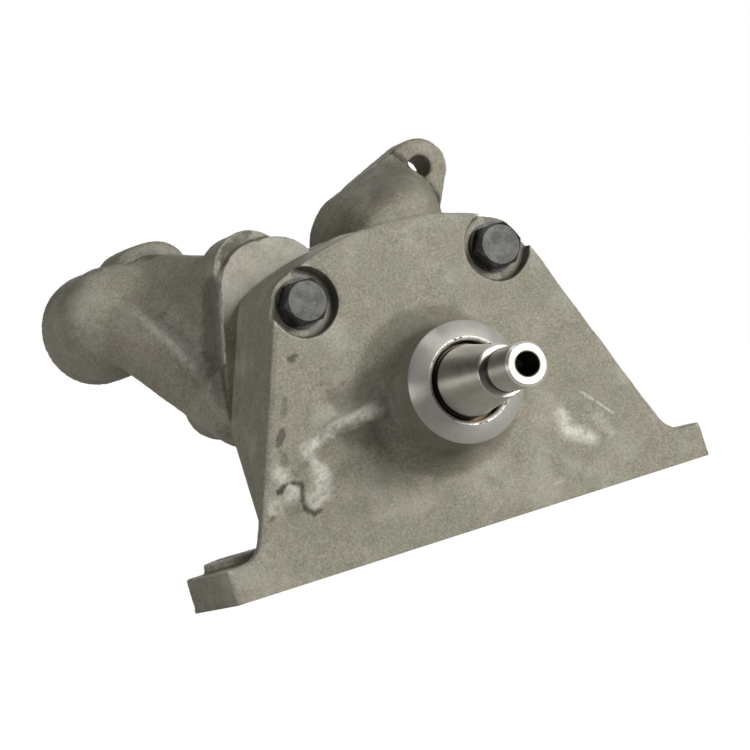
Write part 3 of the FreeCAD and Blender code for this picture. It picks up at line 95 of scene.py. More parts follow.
def casting_mesh(name, node):
    """A fine mesh of a CAD node, its surface made of even small faces."""
    piece = bpy.data.objects.new(name, frame["nodes"][node].data.copy())
    scene.collection.objects.link(piece)
    remesh = piece.modifiers.new("even_faces", "REMESH")
    remesh.mode = "VOXEL"
    remesh.voxel_size = VOXEL
    graph = bpy.context.evaluated_depsgraph_get()
    mesh = bpy.data.meshes.new_from_object(piece.evaluated_get(graph))
    piece.modifiers.clear()
    piece.data = mesh
    mesh.materials.clear()
    return piece


def read_points(mesh):
    """The mesh's points, one row each."""
    points = np.empty(len(mesh.vertices) * 3)
    mesh.vertices.foreach_get("co", points)
    return points.reshape(-1, 3)


def read_normals(mesh):
    normals = np.empty(len(mesh.vertices) * 3)
    mesh.vertex_normals.foreach_get("vector", normals)
    return normals.reshape(-1, 3)


def write_points(mesh, points):
    mesh.vertices.foreach_set("co", points.ravel())
    mesh.update()


def write_layer(mesh, name, values):
    """Keep a number for each point, which a material can read."""
    layer = mesh.attributes.new(name, "FLOAT", "POINT")
    layer.data.foreach_set("value", values.astype(np.float32))


def read_edges(mesh):
    """The two point numbers of each edge."""
    ends = np.empty(len(mesh.edges) * 2, dtype=np.int64)
    mesh.edges.foreach_get("vertices", ends)
    return ends.reshape(-1, 2)


def soften(points, edges, rounds):
    """Average each point with its neighbours, which rounds every edge."""
    first, second = edges.T
    both = np.concatenate([first, second])
    count = np.maximum(np.bincount(both, minlength=len(points)), 1)
    for _ in range(rounds):
        total = np.empty_like(points)
        for axis in range(3):
            weights = np.concatenate([points[second, axis], points[first, axis]])
            total[:, axis] = np.bincount(both, weights, minlength=len(points))
        points = points / 2 + total / count[:, None] / 2
    return points


def melt(points, edges, share, rounds):
    """Soften a region further, by its share of 0 to 1 at each point."""
    chosen = np.flatnonzero(share > 0)
    place = np.full(len(points), -1)
    place[chosen] = np.arange(len(chosen))
    local = place[edges]
    soft = soften(points[chosen], local[(local >= 0).all(axis=1)], rounds)
    points = points.copy()
    points[chosen] += (soft - points[chosen]) * share[chosen, None]
    return points


def inside_box(points, low, high, fade):
    """1 well inside a box, falling to 0 at its sides. Corners are (x, depth, z) in mm."""
    spots = (points - np.array([0, FRONT, 0])) / MM
    room = np.minimum(spots - np.array(low), np.array(high) - spots).min(axis=1)
    return smooth_step(0, fade, room)


def sand_grain(points):
    """Height of the sand-cast surface at each point."""
    heights = np.empty(len(points))
    for i, (x, y, z) in enumerate(points):
        spot = Vector((x, y, z))
        heights[i] = (noise.noise(spot / GRAIN_SIZE) * GRAIN_HEIGHT
                      + noise.noise(spot / WAVE_SIZE) * WAVE_HEIGHT)
    return heights


def finish_casting(piece, body, machined, melted, marks, shaped=None):
    """Round and roughen the cast skin, and leave the machined faces as they are cut.

    machined gives, for points and their normals, how far each is a cut face and how far
    its place is kept sharp. melted lists the regions that are rounded further, as a share
    at each point and a number of rounds. marks gives a depth, a darkening that holds stains
    and painted shade, and a lightening that holds wear and painted highlights. shaped
    moves points before all that.
    """
    mesh = piece.data
    edges = read_edges(mesh)
    sharp = read_points(mesh)
    cut, kept = machined(sharp, read_normals(mesh))
    if shaped:
        sharp = shaped(sharp)
    soft = soften(sharp, edges, SOFTENING)
    points = sharp * kept[:, None] + soft * (1 - kept[:, None])
    plain = np.zeros(len(points))
    for share, rounds in melted(sharp):
        points = melt(points, edges, share, rounds)
        plain = np.maximum(plain, share)
    write_points(mesh, points)
    normals = read_normals(mesh)
    proud = np.einsum("ij,ij->i", sharp - soft, normals) * (1 - plain)
    wear_and_highlight = smooth_step(EDGE_START, EDGE_FULL, proud) * (1 - kept)
    # Hollows are darkened: dirt, and painted shade in creases.
    dirt_and_shade = smooth_step(EDGE_START, EDGE_FULL, -proud)
    depth, dark_tone, rubbed_and_highlight = marks(points, normals)
    lift = sand_grain(points) * (1 - kept) - depth
    dirt_and_shade = np.maximum(dirt_and_shade, dark_tone)
    wear_and_highlight = np.maximum(wear_and_highlight, rubbed_and_highlight)
    write_points(mesh, points + normals * lift[:, None])
    write_layer(mesh, "machined", cut)
    write_layer(mesh, "wear_and_painted_highlight", wear_and_highlight)
    write_layer(mesh, "dirt_and_painted_shade", dirt_and_shade)
    mesh.shade_smooth()
    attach(piece, body)


def around(points, x, z):
    """Distance of each point from an axis along Y."""
    return np.hypot(points[:, 0] - x, points[:, 2] - z)


def near(values, level, reach):
    """1 where a value lies close to a level."""
    return (np.abs(values - level) < reach).astype(float)


# Cut faces: how near a point lies to one, and how square it faces it

FACE_REACH = 0.45 * MM
EDGE_REACH = 1.3 * MM
SQUARE = 0.85

NOSE_LENGTH = 4.0 * MM
NOSE_RADIUS = 20.5 * MM
NOSE_REACH = NOSE_RADIUS + 2 * MM
SEAT_RADIUS = 10.4 * MM
SEAT_DEPTH = 5.5 * MM
SEAT_TONE = 0.12
BORE_WALL = 0.7 * MM


def bracket_machined(points, facing):
    """Cut and kept shares of the bracket: nose, bore, bolt seats, base and joint."""
    y, z = points[:, 1], points[:, 2]
    radius = around(points, 0, SHAFT_Z)
    bore = radius < BUSH_RADIUS + BORE_WALL
    nose = (y < NOSE_FRONT + NOSE_LENGTH + BORE_WALL) & (radius < NOSE_REACH)
    seats = np.zeros(len(points), dtype=bool)
    for side in (-1, 1):
        seats |= (around(points, BOLT_X * side, BOLT_Z) < SEAT_RADIUS) & (y < FRONT + SEAT_DEPTH)
    base = near(z, 0, FACE_REACH) * (facing[:, 2] < -SQUARE)
    back = near(y, JOINT, FACE_REACH) * (facing[:, 1] > SQUARE)
    cut = np.maximum.reduce([nose & ~bore, seats * SEAT_TONE, base, back])
    kept = np.maximum.reduce(
        [nose, bore, seats, near(z, 0, EDGE_REACH), near(y, JOINT, EDGE_REACH)])
    return cut, kept.astype(float)


OUTLET_BACK = FRONT + 97 * MM
OUTLET_LOW = 96 * MM
CHAMBER_REACH = 20.6 * MM
CHAMBER_LENGTH = 41 * MM
JOINT_TONE = 0.3
LOBE_END = -12 * MM
LOBE_LOW = 90 * MM
LOBE_FULL = 97 * MM


def housing_machined(points, facing):
    """Cut and kept shares of the housing: chambers, outlet, lobe of the joint and back."""
    x, y, z = points.T
    off_axis = np.minimum(around(points, 0, SHAFT_Z), around(points, 0, IDLER_Z))
    inside = (off_axis < CHAMBER_REACH) & (y < JOINT + CHAMBER_LENGTH)
    outlet = near(y, OUTLET_BACK, FACE_REACH) * (z > OUTLET_LOW) * (x > 0)
    joint = near(y, JOINT, FACE_REACH) * (facing[:, 1] < -SQUARE) * (x < LOBE_END)
    joint *= smooth_step(LOBE_LOW, LOBE_FULL, z)
    back = near(y, housing_high.y, FACE_REACH)
    cut = np.maximum.reduce(
        [joint * JOINT_TONE, back, outlet * (facing[:, 1] > SQUARE), inside])
    kept = np.maximum.reduce([near(y, JOINT, EDGE_REACH), back, outlet, inside])
    return cut, kept.astype(float)


# Regions of the castings that the sand left without a crisp edge: opposite corners as
# (x, depth, z) in mm, the width over which they fade, and their rounds of softening

JOINT_DEPTH = (JOINT - FRONT) / MM
RIB_BOX = (-70, -8, 15), (-9, 3, 64)
RIB_FADE = 5
RIB_ROUNDS = 60
RIB_CLEAR_START = NOSE_RADIUS + 1 * MM
RIB_CLEAR_END = NOSE_RADIUS + 5 * MM
ELBOW_BOX = (6, JOINT_DEPTH + 2, 99), (62, 84, 145)
ELBOW_ROUNDS = 160
DUCT_BOX = (-99, JOINT_DEPTH + 5, 40), (-27, 122, 145)
DUCT_ROUNDS = 70
HOUSING_FADE = 3


def bracket_melted(points):
    clear = smooth_step(RIB_CLEAR_START, RIB_CLEAR_END, around(points, 0, SHAFT_Z))
    return [(inside_box(points, *RIB_BOX, RIB_FADE) * clear, RIB_ROUNDS)]


def housing_melted(points):
    return [(inside_box(points, *ELBOW_BOX, HOUSING_FADE), ELBOW_ROUNDS),
            (inside_box(points, *DUCT_BOX, HOUSING_FADE), DUCT_ROUNDS)]


# The gear chamber as bored: how far clear of the gears, and how much a point may be moved

WALL_CLEARANCE = 0.10 * MM
FLOOR_CLEARANCE = 0.04 * MM
GEAR_RADIUS = max(idler_high.x - idler_low.x, idler_high.z - idler_low.z) / 2
CHAMBER_WALL = GEAR_RADIUS + WALL_CLEARANCE
CHAMBER_FLOOR = idler_high.y + FLOOR_CLEARANCE
CHAMBER_SLACK = 1 * MM


def clear_chamber(points):
    """Set the chamber's wall and floor back to where they are bored, clear of the gears."""
    moved = points.copy()
    for z in (SHAFT_Z, IDLER_Z):
        radius = around(moved, 0, z)
        short = CHAMBER_WALL - radius
        gap = CHAMBER_FLOOR - moved[:, 1]
        inside = (short > 0) & (gap > 0) & (moved[:, 1] > JOINT - CHAMBER_SLACK)
        wall = inside & (short <= gap) & (short < CHAMBER_SLACK)
        floor = inside & (gap < short) & (gap < CHAMBER_SLACK)
        grown = CHAMBER_WALL / radius[wall]
        moved[wall, 0] *= grown
        moved[wall, 2] = z + (moved[wall, 2] - z) * grown
        moved[floor, 1] = CHAMBER_FLOOR
    return moved


# The flange's left edge, round at its ends, as (x, z) and radii in mm. Past it the trunk
# starts to fall back, by a slope, within a box of (x, depth, z) corners.

FLANGE_TOP = np.array((-38.5, 99.4))
FLANGE_TOP_RADIUS = 16.2
FLANGE_FOOT = np.array((-49.2, 61.0))
FLANGE_FOOT_RADIUS = 10.4
TRUNK_BOX = (-99, JOINT_DEPTH - 5, 44), (-30, JOINT_DEPTH + 30, 96)
FALL_START = 0.5
FALL_SLOPE = 1.5


def fall_away(points):
    """Round the front of the suction trunk, which the flange leaves standing proud."""
    flat = points[:, [0, 2]] / MM
    way = FLANGE_FOOT - FLANGE_TOP
    share = np.clip((flat - FLANGE_TOP) @ way / (way @ way), 0, 1)
    off = np.linalg.norm(flat - FLANGE_TOP - share[:, None] * way, axis=1)
    off -= FLANGE_TOP_RADIUS + (FLANGE_FOOT_RADIUS - FLANGE_TOP_RADIUS) * share
    fall = np.maximum(off - FALL_START, 0) * FALL_SLOPE * MM
    region = inside_box(points, *TRUNK_BOX, HOUSING_FADE)
    pushed = np.maximum(points[:, 1], JOINT + fall * region)
    moved = points.copy()
    moved[:, 1] = np.where(region > 0, pushed, points[:, 1])
    return moved


def housing_shaped(points):
    return clear_chamber(fall_away(points))


# Marks of use, painted shade and painted highlights: the depth of a mark's plane in mm,
# (x, z) in mm along it, half its width, then how deep it is in mm, and how dark and how
# much lighter from 0 to 1. They are laid on along the line of sight, so the camera's place is
# given here.

CAMERA_PLACE = Vector((-0.5294, -1.3135, 0.0532))

PLATE_MARKS_AND_PAINTED_LIGHT = [
    (0, [(-65.6, 31.4), (-62.5, 33.2), (-59.6, 33.5), (-56.3, 32.1), (-57.1, 28.5),
         (-58.0, 25.7), (-56.9, 22.7), (-54.9, 21.3), (-52.7, 21.8)], 0.9, 0.6, 0.95, 0),
    (0, [(-45.2, 74.0), (-47.0, 72.2)], 1.2, 0.4, 0.85, 0),
    (0, [(-42.7, 61.2), (-39.2, 61.9), (-35.6, 60.3)], 1.0, 0.1, 0.4, 0),
    (0, [(-57.8, 49.9), (-60.2, 46.7)], 1.3, 0.4, 0.8, 0),
    (0, [(-53.6, 60.6), (-55.4, 55.7)], 1.1, 0.2, 0.4, 0),
    (0, [(-60.1, 43.2), (-59.9, 40.1)], 1.6, 0.2, 0.5, 0),
    (0, [(-68.7, 24.2), (-71.0, 23.4)], 1.2, 0.3, 0.6, 0),
    (0, [(31.3, 6.7), (34.3, 7.3)], 1.0, 0.2, 0, 0.4),
    (0, [(40.8, 28.0), (41.5, 22.5), (48.6, 18.1)], 3.6, 0, 0, 0.8),
    (0, [(52.9, 24.1), (56.5, 17.9)], 2.6, 0, 0, 0.35),
    (0, [(50.4, 33.5), (54.6, 29.2), (59.5, 23.7)], 0.5, 0.15, 0, 0.9),
    # Lighter along the rib from the boss down to the left: wear, and a painted highlight on the
    # rib's lit top.
    (0, [(-22.0, 48.5), (-29.4, 48.7), (-35.3, 48.4), (-40.0, 46.7)], 2.8, 0, 0, 0.9),
    (0, [(-18.5, 55.3), (-18.3, 45.9)], 1.5, 0, 0, 0.6),
    (0, [(-41.3, 45.5), (-46.7, 44.0), (-51.4, 42.2), (-49.2, 36.2)], 2.6, 0, 0, 0.8),
    (0, [(-48.4, 33.7), (-49.5, 27.8), (-53.5, 25.5)], 4.0, 0, 0, 1.0),
    (0, [(-62.7, 37.8), (-60.0, 30.9), (-67.8, 27.0)], 3.8, 0, 0, 0.55),
    # Painted shade in the hollows above and under the rib, each sunk a little.
    (0, [(-34.8, 55.2), (-27.8, 56.4), (-18.5, 59.2), (-10.0, 64.6)], 5.5, 0.4, 0.5, 0),
    (0, [(-36.6, 43.6), (-31.1, 41.2), (-21.7, 39.1), (-14.5, 35.5)], 5.0, 0.4, 0.5, 0),
]

# All of these paint light and shade on the housing; a few also sink a crease.
HOUSING_PAINTED_LIGHT = [
    # Painted highlight along the flange's left edge.
    (42, [(-46.2, 112.0), (-49.6, 99.4), (-53.8, 82.7), (-57.1, 67.6), (-57.2, 64.1)],
     0.9, 0, 0, 0.8),
    # Painted highlight along the trunk's ridge.
    (70, [(-76.8, 111.3), (-73.1, 107.4), (-69.5, 103.2), (-66.8, 98.8), (-63.7, 94.0),
          (-60.7, 89.1), (-58.1, 84.1), (-53.2, 74.4), (-47.9, 64.5)], 2.4, 0, 0, 0.7),
    # Painted light on the lit face beside the ridge.
    (66, [(-66.0, 106.0), (-60.0, 96.0), (-55.0, 86.0)], 7.0, 0, 0, 0.3),
    # Painted shade on the dark side by the flange.
    (55, [(-46.4, 105.6), (-49.4, 97.5), (-52.5, 89.0), (-54.0, 80.8), (-54.6, 72.0),
          (-53.4, 66.2)], 4.2, 0, 0.62, 0),
    # A crease under the top boss, sunk and darkened with painted shade.
    (100, [(-70.3, 124.6), (-62.3, 125.4), (-52.9, 124.7), (-44.0, 121.9), (-37.5, 117.9)],
     1.6, 0.3, 0.6, 0),
    # Painted shadow in the gap along the top of the lobe.
    (48, [(-43.0, 112.0), (-40.3, 115.6), (-36.6, 117.8), (-32.4, 118.8)], 2.4, 0, 0.75, 0),
    # A painted glint on the top boss.
    (48, [(-34.5, 118.3), (-32.9, 118.6)], 0.9, 0, 0, 0.9),
    # The crease along the outlet ear, sunk and darkened with painted shade.
    (82, [(42.0, 136.1), (45.3, 132.6), (48.0, 129.7), (50.7, 125.6), (53.2, 120.8),
          (54.5, 116.3), (55.0, 111.7)], 1.5, 0.4, 0.9, 0),
    # Painted shade on the outlet's dome.
    (68, [(30, 118), (36, 126), (40, 131)], 7.0, 0, 0.35, 0),
]

# A mark is full up to its core and gone past its end, as shares of its half width. It
# reaches that many mm in front of and behind its plane, a narrow crease less far.

MARK_RAGGED = 3.0 * MM
MARK_FRAYED = 1.0 * MM
FRAYED_SHARE = 0.6
RAGGED_HALF = 1.9
MARK_CORE = 0.3
MARK_END = 1.2
MARK_FAR = 3
MARK_REACH = 22
CREASE_HALF = 1.7
CREASE_REACH = 8
SEEN = 0.35


def away_from_line(flat, line):
    """Distance of (x, z) points from a chain of such points, all in mm."""
    best = np.full(len(flat), np.inf)
    for start, end in zip(line, line[1:]):
        start, end = np.array(start), np.array(end)
        way = end - start
        share = np.clip((flat - start) @ way / (way @ way), 0, 1)
        best = np.minimum(best, np.linalg.norm(flat - start - share[:, None] * way, axis=1))
    return best


def ragged_edge(spot):
    """How far a mark's edge strays at a place, in mm."""
    return noise.noise(spot / MARK_RAGGED) + noise.noise(spot / MARK_FRAYED) * FRAYED_SHARE


def lay_marks(marks, points, normals):
    """Depth, stains and painted shade, wear and painted highlights of marks, laid along the line
    of sight.
    """
    depth, dark_tone, wear_and_highlight = (np.zeros(len(points)) for _ in range(3))
    depths = (points[:, 1] - FRONT) / MM
    eye = np.array(CAMERA_PLACE)
    front = normals[:, 1] < SEEN
    for plane, line, half, sunk, dark, rubbed_and_highlight in marks:
        reach = MARK_REACH if half > CREASE_HALF else CREASE_REACH
        chosen = np.flatnonzero(front & (np.abs(depths - plane) < reach))
        spots = points[chosen]
        along = (FRONT + plane * MM - eye[1]) / (spots[:, 1] - eye[1])
        flat = (eye + (spots - eye) * along[:, None])[:, [0, 2]] / MM
        off = away_from_line(flat, line)
        close = off < half * MARK_FAR
        chosen, spots, off = chosen[close], spots[close], off[close]
        ragged = np.array([ragged_edge(Vector(spot)) for spot in spots])
        off += ragged * min(half, RAGGED_HALF)
        share = 1 - smooth_step(half * MARK_CORE, half * MARK_END, off)
        share *= 1 - smooth_step(reach / 2, reach, np.abs(depths[chosen] - plane))
        depth[chosen] = np.maximum(depth[chosen], share * sunk * MM)
        dark_tone[chosen] = np.maximum(dark_tone[chosen], share * dark)
        wear_and_highlight[chosen] = np.maximum(wear_and_highlight[chosen], share * rubbed_and_highlight * (1 + ragged))
    return depth, dark_tone, wear_and_highlight


# A ring of painted shade about the nose, and painted shadow on the walls of the bolt seats.
NOSE_SHADE_START = NOSE_RADIUS - 1 * MM
NOSE_SHADE_SPREAD = 11 * MM
NOSE_SHADE_DARK = 0.5
SEAT_WALL = 12.8 * MM
SEAT_LIP = 1 * MM
SEAT_SHADE = 0.6


def bracket_marks_and_painted_light(points, normals):
    """Marks and painted light on the front; painted shade about the nose, in its bore and seats.
    """
    depth, dark_tone, wear_and_highlight = lay_marks(PLATE_MARKS_AND_PAINTED_LIGHT, points, normals)
    x, y = points[:, 0], points[:, 1]
    radius = around(points, 0, SHAFT_Z)
    # Painted shade about the boss's nose, fading outward.
    nose_shade = 1 - smooth_step(NOSE_RADIUS, NOSE_RADIUS + NOSE_SHADE_SPREAD, radius)
    nose_shade[radius < NOSE_SHADE_START] = 0
    # The bore is painted dark as shade.
    bore = radius < BUSH_RADIUS + BORE_WALL
    # Painted shadow on the right half of each bolt seat's wall.
    shade = np.zeros(len(points))
    for side in (-1, 1):
        off = around(points, BOLT_X * side, BOLT_Z)
        wall = (off > WASHER_RADIUS) & (off < SEAT_WALL) & (x > BOLT_X * side)
        shade[wall & (y > FRONT + SEAT_LIP) & (y < FRONT + SEAT_DEPTH)] = SEAT_SHADE
    return depth, np.maximum.reduce([dark_tone, nose_shade * NOSE_SHADE_DARK, bore, shade]), wear_and_highlight


def housing_painted_light(points, normals):
    return lay_marks(HOUSING_PAINTED_LIGHT, points, normals)


bracket = casting_mesh("bracket_casting", "mounting_bracket")
finish_casting(bracket, "casing", bracket_machined, bracket_melted, bracket_marks_and_painted_light)
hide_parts("mounting_bracket")
housing = casting_mesh("housing_casting", "pump_housing")
finish_casting(housing, "casing", housing_machined, housing_melted, housing_painted_light, housing_shaped)
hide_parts("pump_housing")


# Turned skins: the faces that a lathe leaves on the boss

LATHE_SIDES = 192
SKIN = 0.10 * MM


def lathe(name, profile, z, body):
    """A surface turned about an axis along Y from (y, radius) points."""
    verts, faces = [], []
    for y, radius in profile:
        for i in range(LATHE_SIDES):
            angle = 2 * math.pi * i / LATHE_SIDES
            verts.append((radius * math.cos(angle), y, z + radius * math.sin(angle)))
    for row in range(len(profile) - 1):
        for i in range(LATHE_SIDES):
            after = (i + 1) % LATHE_SIDES
            low, high = row * LATHE_SIDES, (row + 1) * LATHE_SIDES
            faces.append((low + i, low + after, high + after, high + i))
    mesh = bpy.data.meshes.new(name)
    mesh.from_pydata(verts, [], faces)
    mesh.shade_smooth()
    piece = bpy.data.objects.new(name, mesh)
    scene.collection.objects.link(piece)
    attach(piece, body)
    return piece


# The boss's turned face: its hem behind the nose, the broken edge of its mouth, its lip

NOSE_BACK = NOSE_FRONT + NOSE_LENGTH
HEM_END = 0.7 * MM
HEM_START = 0.5 * MM
HEM_DROP = 0.3 * MM
MOUTH_RADIUS = 14.6 * MM
MOUTH_BREAK = 0.35 * MM
BREAK_DEPTH = 0.25 * MM
LIP_RADIUS = 13.5 * MM
LIP_START = 0.9 * MM
LIP_END = 3.0 * MM
LIP_CLOSE = 3.4 * MM
nose_skin = lathe("boss_nose_face", [
    (NOSE_BACK + HEM_END, NOSE_RADIUS - HEM_DROP),
    (NOSE_BACK + HEM_START, NOSE_RADIUS + SKIN),
    (NOSE_BACK + SKIN, NOSE_RADIUS + SKIN),
    (NOSE_BACK - SKIN, NOSE_RADIUS),
    (NOSE_FRONT + BREAK_DEPTH, MOUTH_RADIUS + MOUTH_BREAK),
    (NOSE_FRONT + SKIN / 2, MOUTH_RADIUS),
    (NOSE_FRONT + LIP_START, LIP_RADIUS),
    (NOSE_FRONT + LIP_END, LIP_RADIUS),
    (NOSE_FRONT + LIP_CLOSE, BUSH_RADIUS + SKIN),
], SHAFT_Z, "casing")


# Materials

class Nodes:
    """A material's node tree, with short ways to add and join nodes."""

    def __init__(self, name):
        self.material = bpy.data.materials.new(name)
        self.material.use_nodes = True
        self.tree = self.material.node_tree
        self.shader = self.tree.nodes["Principled BSDF"]
        self.place = self.add("ShaderNodeTexCoord").outputs["Object"]

    def add(self, kind, **settings):
        node = self.tree.nodes.new(kind)
        for key, value in settings.items():
            setattr(node, key, value)
        return node

    def join(self, source, target):
        self.tree.links.new(source, target)

    def feed(self, socket, value):
        """Set a socket to a number or a colour, or join it to an output."""
        if isinstance(value, (int, float)):
            socket.default_value = value
        elif isinstance(value, tuple):
            socket.default_value = (*value, 1)
        else:
            self.join(value, socket)

    def noise(self, size, detail, rough=0.55, place=None):
        """Noise between 0 and 1 with features of a size in metres."""
        node = self.add("ShaderNodeTexNoise")
        node.inputs["Scale"].default_value = 1 / size
        node.inputs["Detail"].default_value = detail
        node.inputs["Roughness"].default_value = rough
        self.join(place or self.place, node.inputs["Vector"])
        return node.outputs["Fac"]

    def ramp(self, value, *stops):
        """Map a value to greys given as (position, grey) stops."""
        node = self.add("ShaderNodeValToRGB")
        elements = node.color_ramp.elements
        while len(elements) < len(stops):
            elements.new(0.5)
        for element, (position, grey) in zip(elements, stops):
            element.position = position
            element.color = (grey, grey, grey, 1)
        self.join(value, node.inputs["Fac"])
        return node.outputs["Color"]

    def mix(self, share, one, two, way="MIX"):
        node = self.add("ShaderNodeMix", data_type="RGBA", blend_type=way)
        factor, first, second = node.inputs[0], node.inputs[6], node.inputs[7]
        self.feed(factor, share)
        self.feed(first, one)
        self.feed(second, two)
        return node.outputs[2]

    def math(self, operation, one, two=0.0):
        node = self.add("ShaderNodeMath", operation=operation)
        self.feed(node.inputs[0], one)
        self.feed(node.inputs[1], two)
        return node.outputs[0]

    def layer(self, name):
        """A number that the mesh holds at each point."""
        return self.add("ShaderNodeAttribute", attribute_name=name).outputs["Fac"]

    def bump(self, height, distance, strength, below=None):
        node = self.add("ShaderNodeBump")
        node.inputs["Strength"].default_value = strength
        node.inputs["Distance"].default_value = distance
        self.join(height, node.inputs["Height"])
        if below is not None:
            self.join(below, node.inputs["Normal"])
        return node.outputs["Normal"]

    def set(self, **sockets):
        for name, value in sockets.items():
            self.feed(self.shader.inputs[name.replace("_", " ").title()], value)


CAST_PALE = (0.375, 0.357, 0.288)
CAST_DARK = (0.205, 0.192, 0.150)
CAST_BROWN = (0.190, 0.166, 0.122)
CAST_BRIGHT = (0.62, 0.60, 0.52)
# This dark colour serves random specks, dirt and painted shade.
CAST_DIRT_AND_SHADE = (0.050, 0.044, 0.033)
GREENISH = (0.95, 0.98, 0.92)
PINKISH = (1.04, 0.99, 0.955)
CUT_IRON = (0.56, 0.545, 0.50)
CUT_STAIN = (0.42, 0.395, 0.34)
DIRT_AND_SHADE_SHARE = 0.9
CAST_METAL = 0.12
CUT_METAL = 0.4
CAST_ROUGH = 0.62
CUT_SMOOTH = 0.16
RUBBED_SMOOTH = 0.15


def cast_iron(name):
    """Sand-cast iron; the mesh gives cut faces, wear, dirt, painted shade and painted highlights.
    """
    look = Nodes(name)
    fine = look.noise(0.8 * MM, detail=3, rough=0.6)
    coarse = look.noise(4.5 * MM, detail=5, rough=0.65)
    hue = look.noise(11 * MM, detail=4)
    broad = look.noise(20 * MM, detail=4, rough=0.6)
    skin = look.mix(look.ramp(fine, (0.32, 0.0), (0.68, 1.0)), CAST_DARK, CAST_PALE)
    tint = look.mix(look.ramp(hue, (0.44, 0.0), (0.58, 1.0)), GREENISH, PINKISH)
    skin = look.mix(1.0, skin, tint, "MULTIPLY")
    skin = look.mix(look.ramp(coarse, (0.50, 0.0), (0.72, 0.60)), skin, CAST_BROWN)
    skin = look.mix(look.ramp(broad, (0.50, 0.0), (0.68, 0.28)), skin, CAST_BRIGHT)
    speck = look.ramp(look.noise(1.6 * MM, detail=3), (0.66, 0.0), (0.74, 0.5))
    skin = look.mix(speck, skin, CAST_DIRT_AND_SHADE)
    # Worn edges and painted highlights lighten the skin.
    rubbed_and_highlight = look.math("MULTIPLY", look.layer("wear_and_painted_highlight"), look.ramp(fine, (0.25, 0.45), (0.6, 1.0)))
    skin = look.mix(rubbed_and_highlight, skin, CAST_BRIGHT)
    # Dirt and painted shade darken it.
    skin = look.mix(look.math("MULTIPLY", look.layer("dirt_and_painted_shade"), DIRT_AND_SHADE_SHARE), skin, CAST_DIRT_AND_SHADE)
    machined = look.layer("machined")
    cut = look.mix(look.ramp(coarse, (0.35, 0.0), (0.75, 1.0)), CUT_IRON, CUT_STAIN)
    look.set(base_color=look.mix(machined, skin, cut))
    look.set(metallic=look.math("ADD", look.math("MULTIPLY", machined, CUT_METAL), CAST_METAL))
    rough = look.math("SUBTRACT", CAST_ROUGH, look.math("MULTIPLY", machined, CUT_SMOOTH))
    smoother = look.math("MULTIPLY", rubbed_and_highlight, RUBBED_SMOOTH)
    look.set(roughness=look.math("SUBTRACT", rough, smoother))
    pitted = look.noise(0.6 * MM, detail=4, rough=0.7)
    height = look.math("MULTIPLY", pitted, look.math("SUBTRACT", 1.15, machined))
    look.set(normal=look.bump(coarse, 0.4 * MM, 0.3, look.bump(height, 0.25 * MM, 0.5)))
    return look.material


RING_ROUGH = 0.24
RING_TURN = 0.25


def turned_steel(name, colour, dark_tone, rough, streak, metal=1.0, shadows=()):
    """Steel turned on a lathe about the shaft's axis: fine rings round it.

    shadows lists the places painted dark as shade, as (lowest y, highest y, largest radius).
    """
    look = Nodes(name)
    split = look.add("ShaderNodeSeparateXYZ")
    look.join(look.place, split.inputs[0])
    x, y = split.outputs["X"], split.outputs["Y"]
    z = look.math("SUBTRACT", split.outputs["Z"], SHAFT_Z)
    squares = look.math("ADD", look.math("MULTIPLY", x, x), look.math("MULTIPLY", z, z))
    radius = look.math("SQRT", squares)
    along = look.add("ShaderNodeCombineXYZ")
    look.join(look.math("ADD", y, radius), along.inputs[0])
    rings = look.noise(0.5 * MM, detail=3, place=along.outputs[0])
    spots = look.noise(6 * MM, detail=5)
    band = look.mix(look.ramp(rings, (0.35, 0.0), (0.7, 0.5)), colour, dark_tone)
    skin = look.mix(look.ramp(spots, (0.52, 0.0), (0.74, 0.9)), band, dark_tone)
    # Each shadow place is painted dark as shade.
    for first, last, reach in shadows:
        inside = look.math("MULTIPLY", look.math("GREATER_THAN", y, first),
                           look.math("LESS_THAN", y, last))
        inside = look.math("MULTIPLY", inside, look.math("LESS_THAN", radius, reach))
        skin = look.mix(look.math("MULTIPLY", inside, SHAFT_SHADE_SHARE), skin, SHAFT_SHADE_COLOUR)
    look.set(base_color=skin)
    look.set(metallic=metal)
    look.set(roughness=look.math("ADD", look.math("MULTIPLY", spots, RING_ROUGH),
                                 rough - RING_ROUGH / 2))
    tangent = look.add("ShaderNodeTangent", direction_type="RADIAL", axis="Y")
    look.set(anisotropic=streak, anisotropic_rotation=RING_TURN)
    look.join(tangent.outputs[0], look.shader.inputs["Tangent"])
    look.set(normal=look.bump(rings, 0.03 * MM, 0.4))
    return look.material


BOLT_BLACK = (0.030, 0.030, 0.028)
BOLT_DARK = (0.072, 0.070, 0.064)
BOLT_GREY = (0.17, 0.165, 0.15)
BOLT_METAL = 0.5
BOLT_ROUGH = 0.32


def bolt_steel(name):
    """Blackened bolts with worn grey specks."""
    look = Nodes(name)
    fine = look.noise(0.7 * MM, detail=4)
    broad = look.noise(4 * MM, detail=4)
    base = look.mix(look.ramp(broad, (0.42, 0.0), (0.66, 1.0)), BOLT_BLACK, BOLT_DARK)
    look.set(base_color=look.mix(look.ramp(fine, (0.52, 0.0), (0.78, 0.8)), base, BOLT_GREY))
    look.set(metallic=BOLT_METAL)
    look.set(roughness=look.math("ADD", look.math("MULTIPLY", fine, 0.3), BOLT_ROUGH))
    look.set(normal=look.bump(broad, 0.3 * MM, 0.4, look.bump(fine, 0.12 * MM, 0.5)))
    return look.material


# Painted shade on the shaft: the hole in its tip, its undercut, and what the nose hides

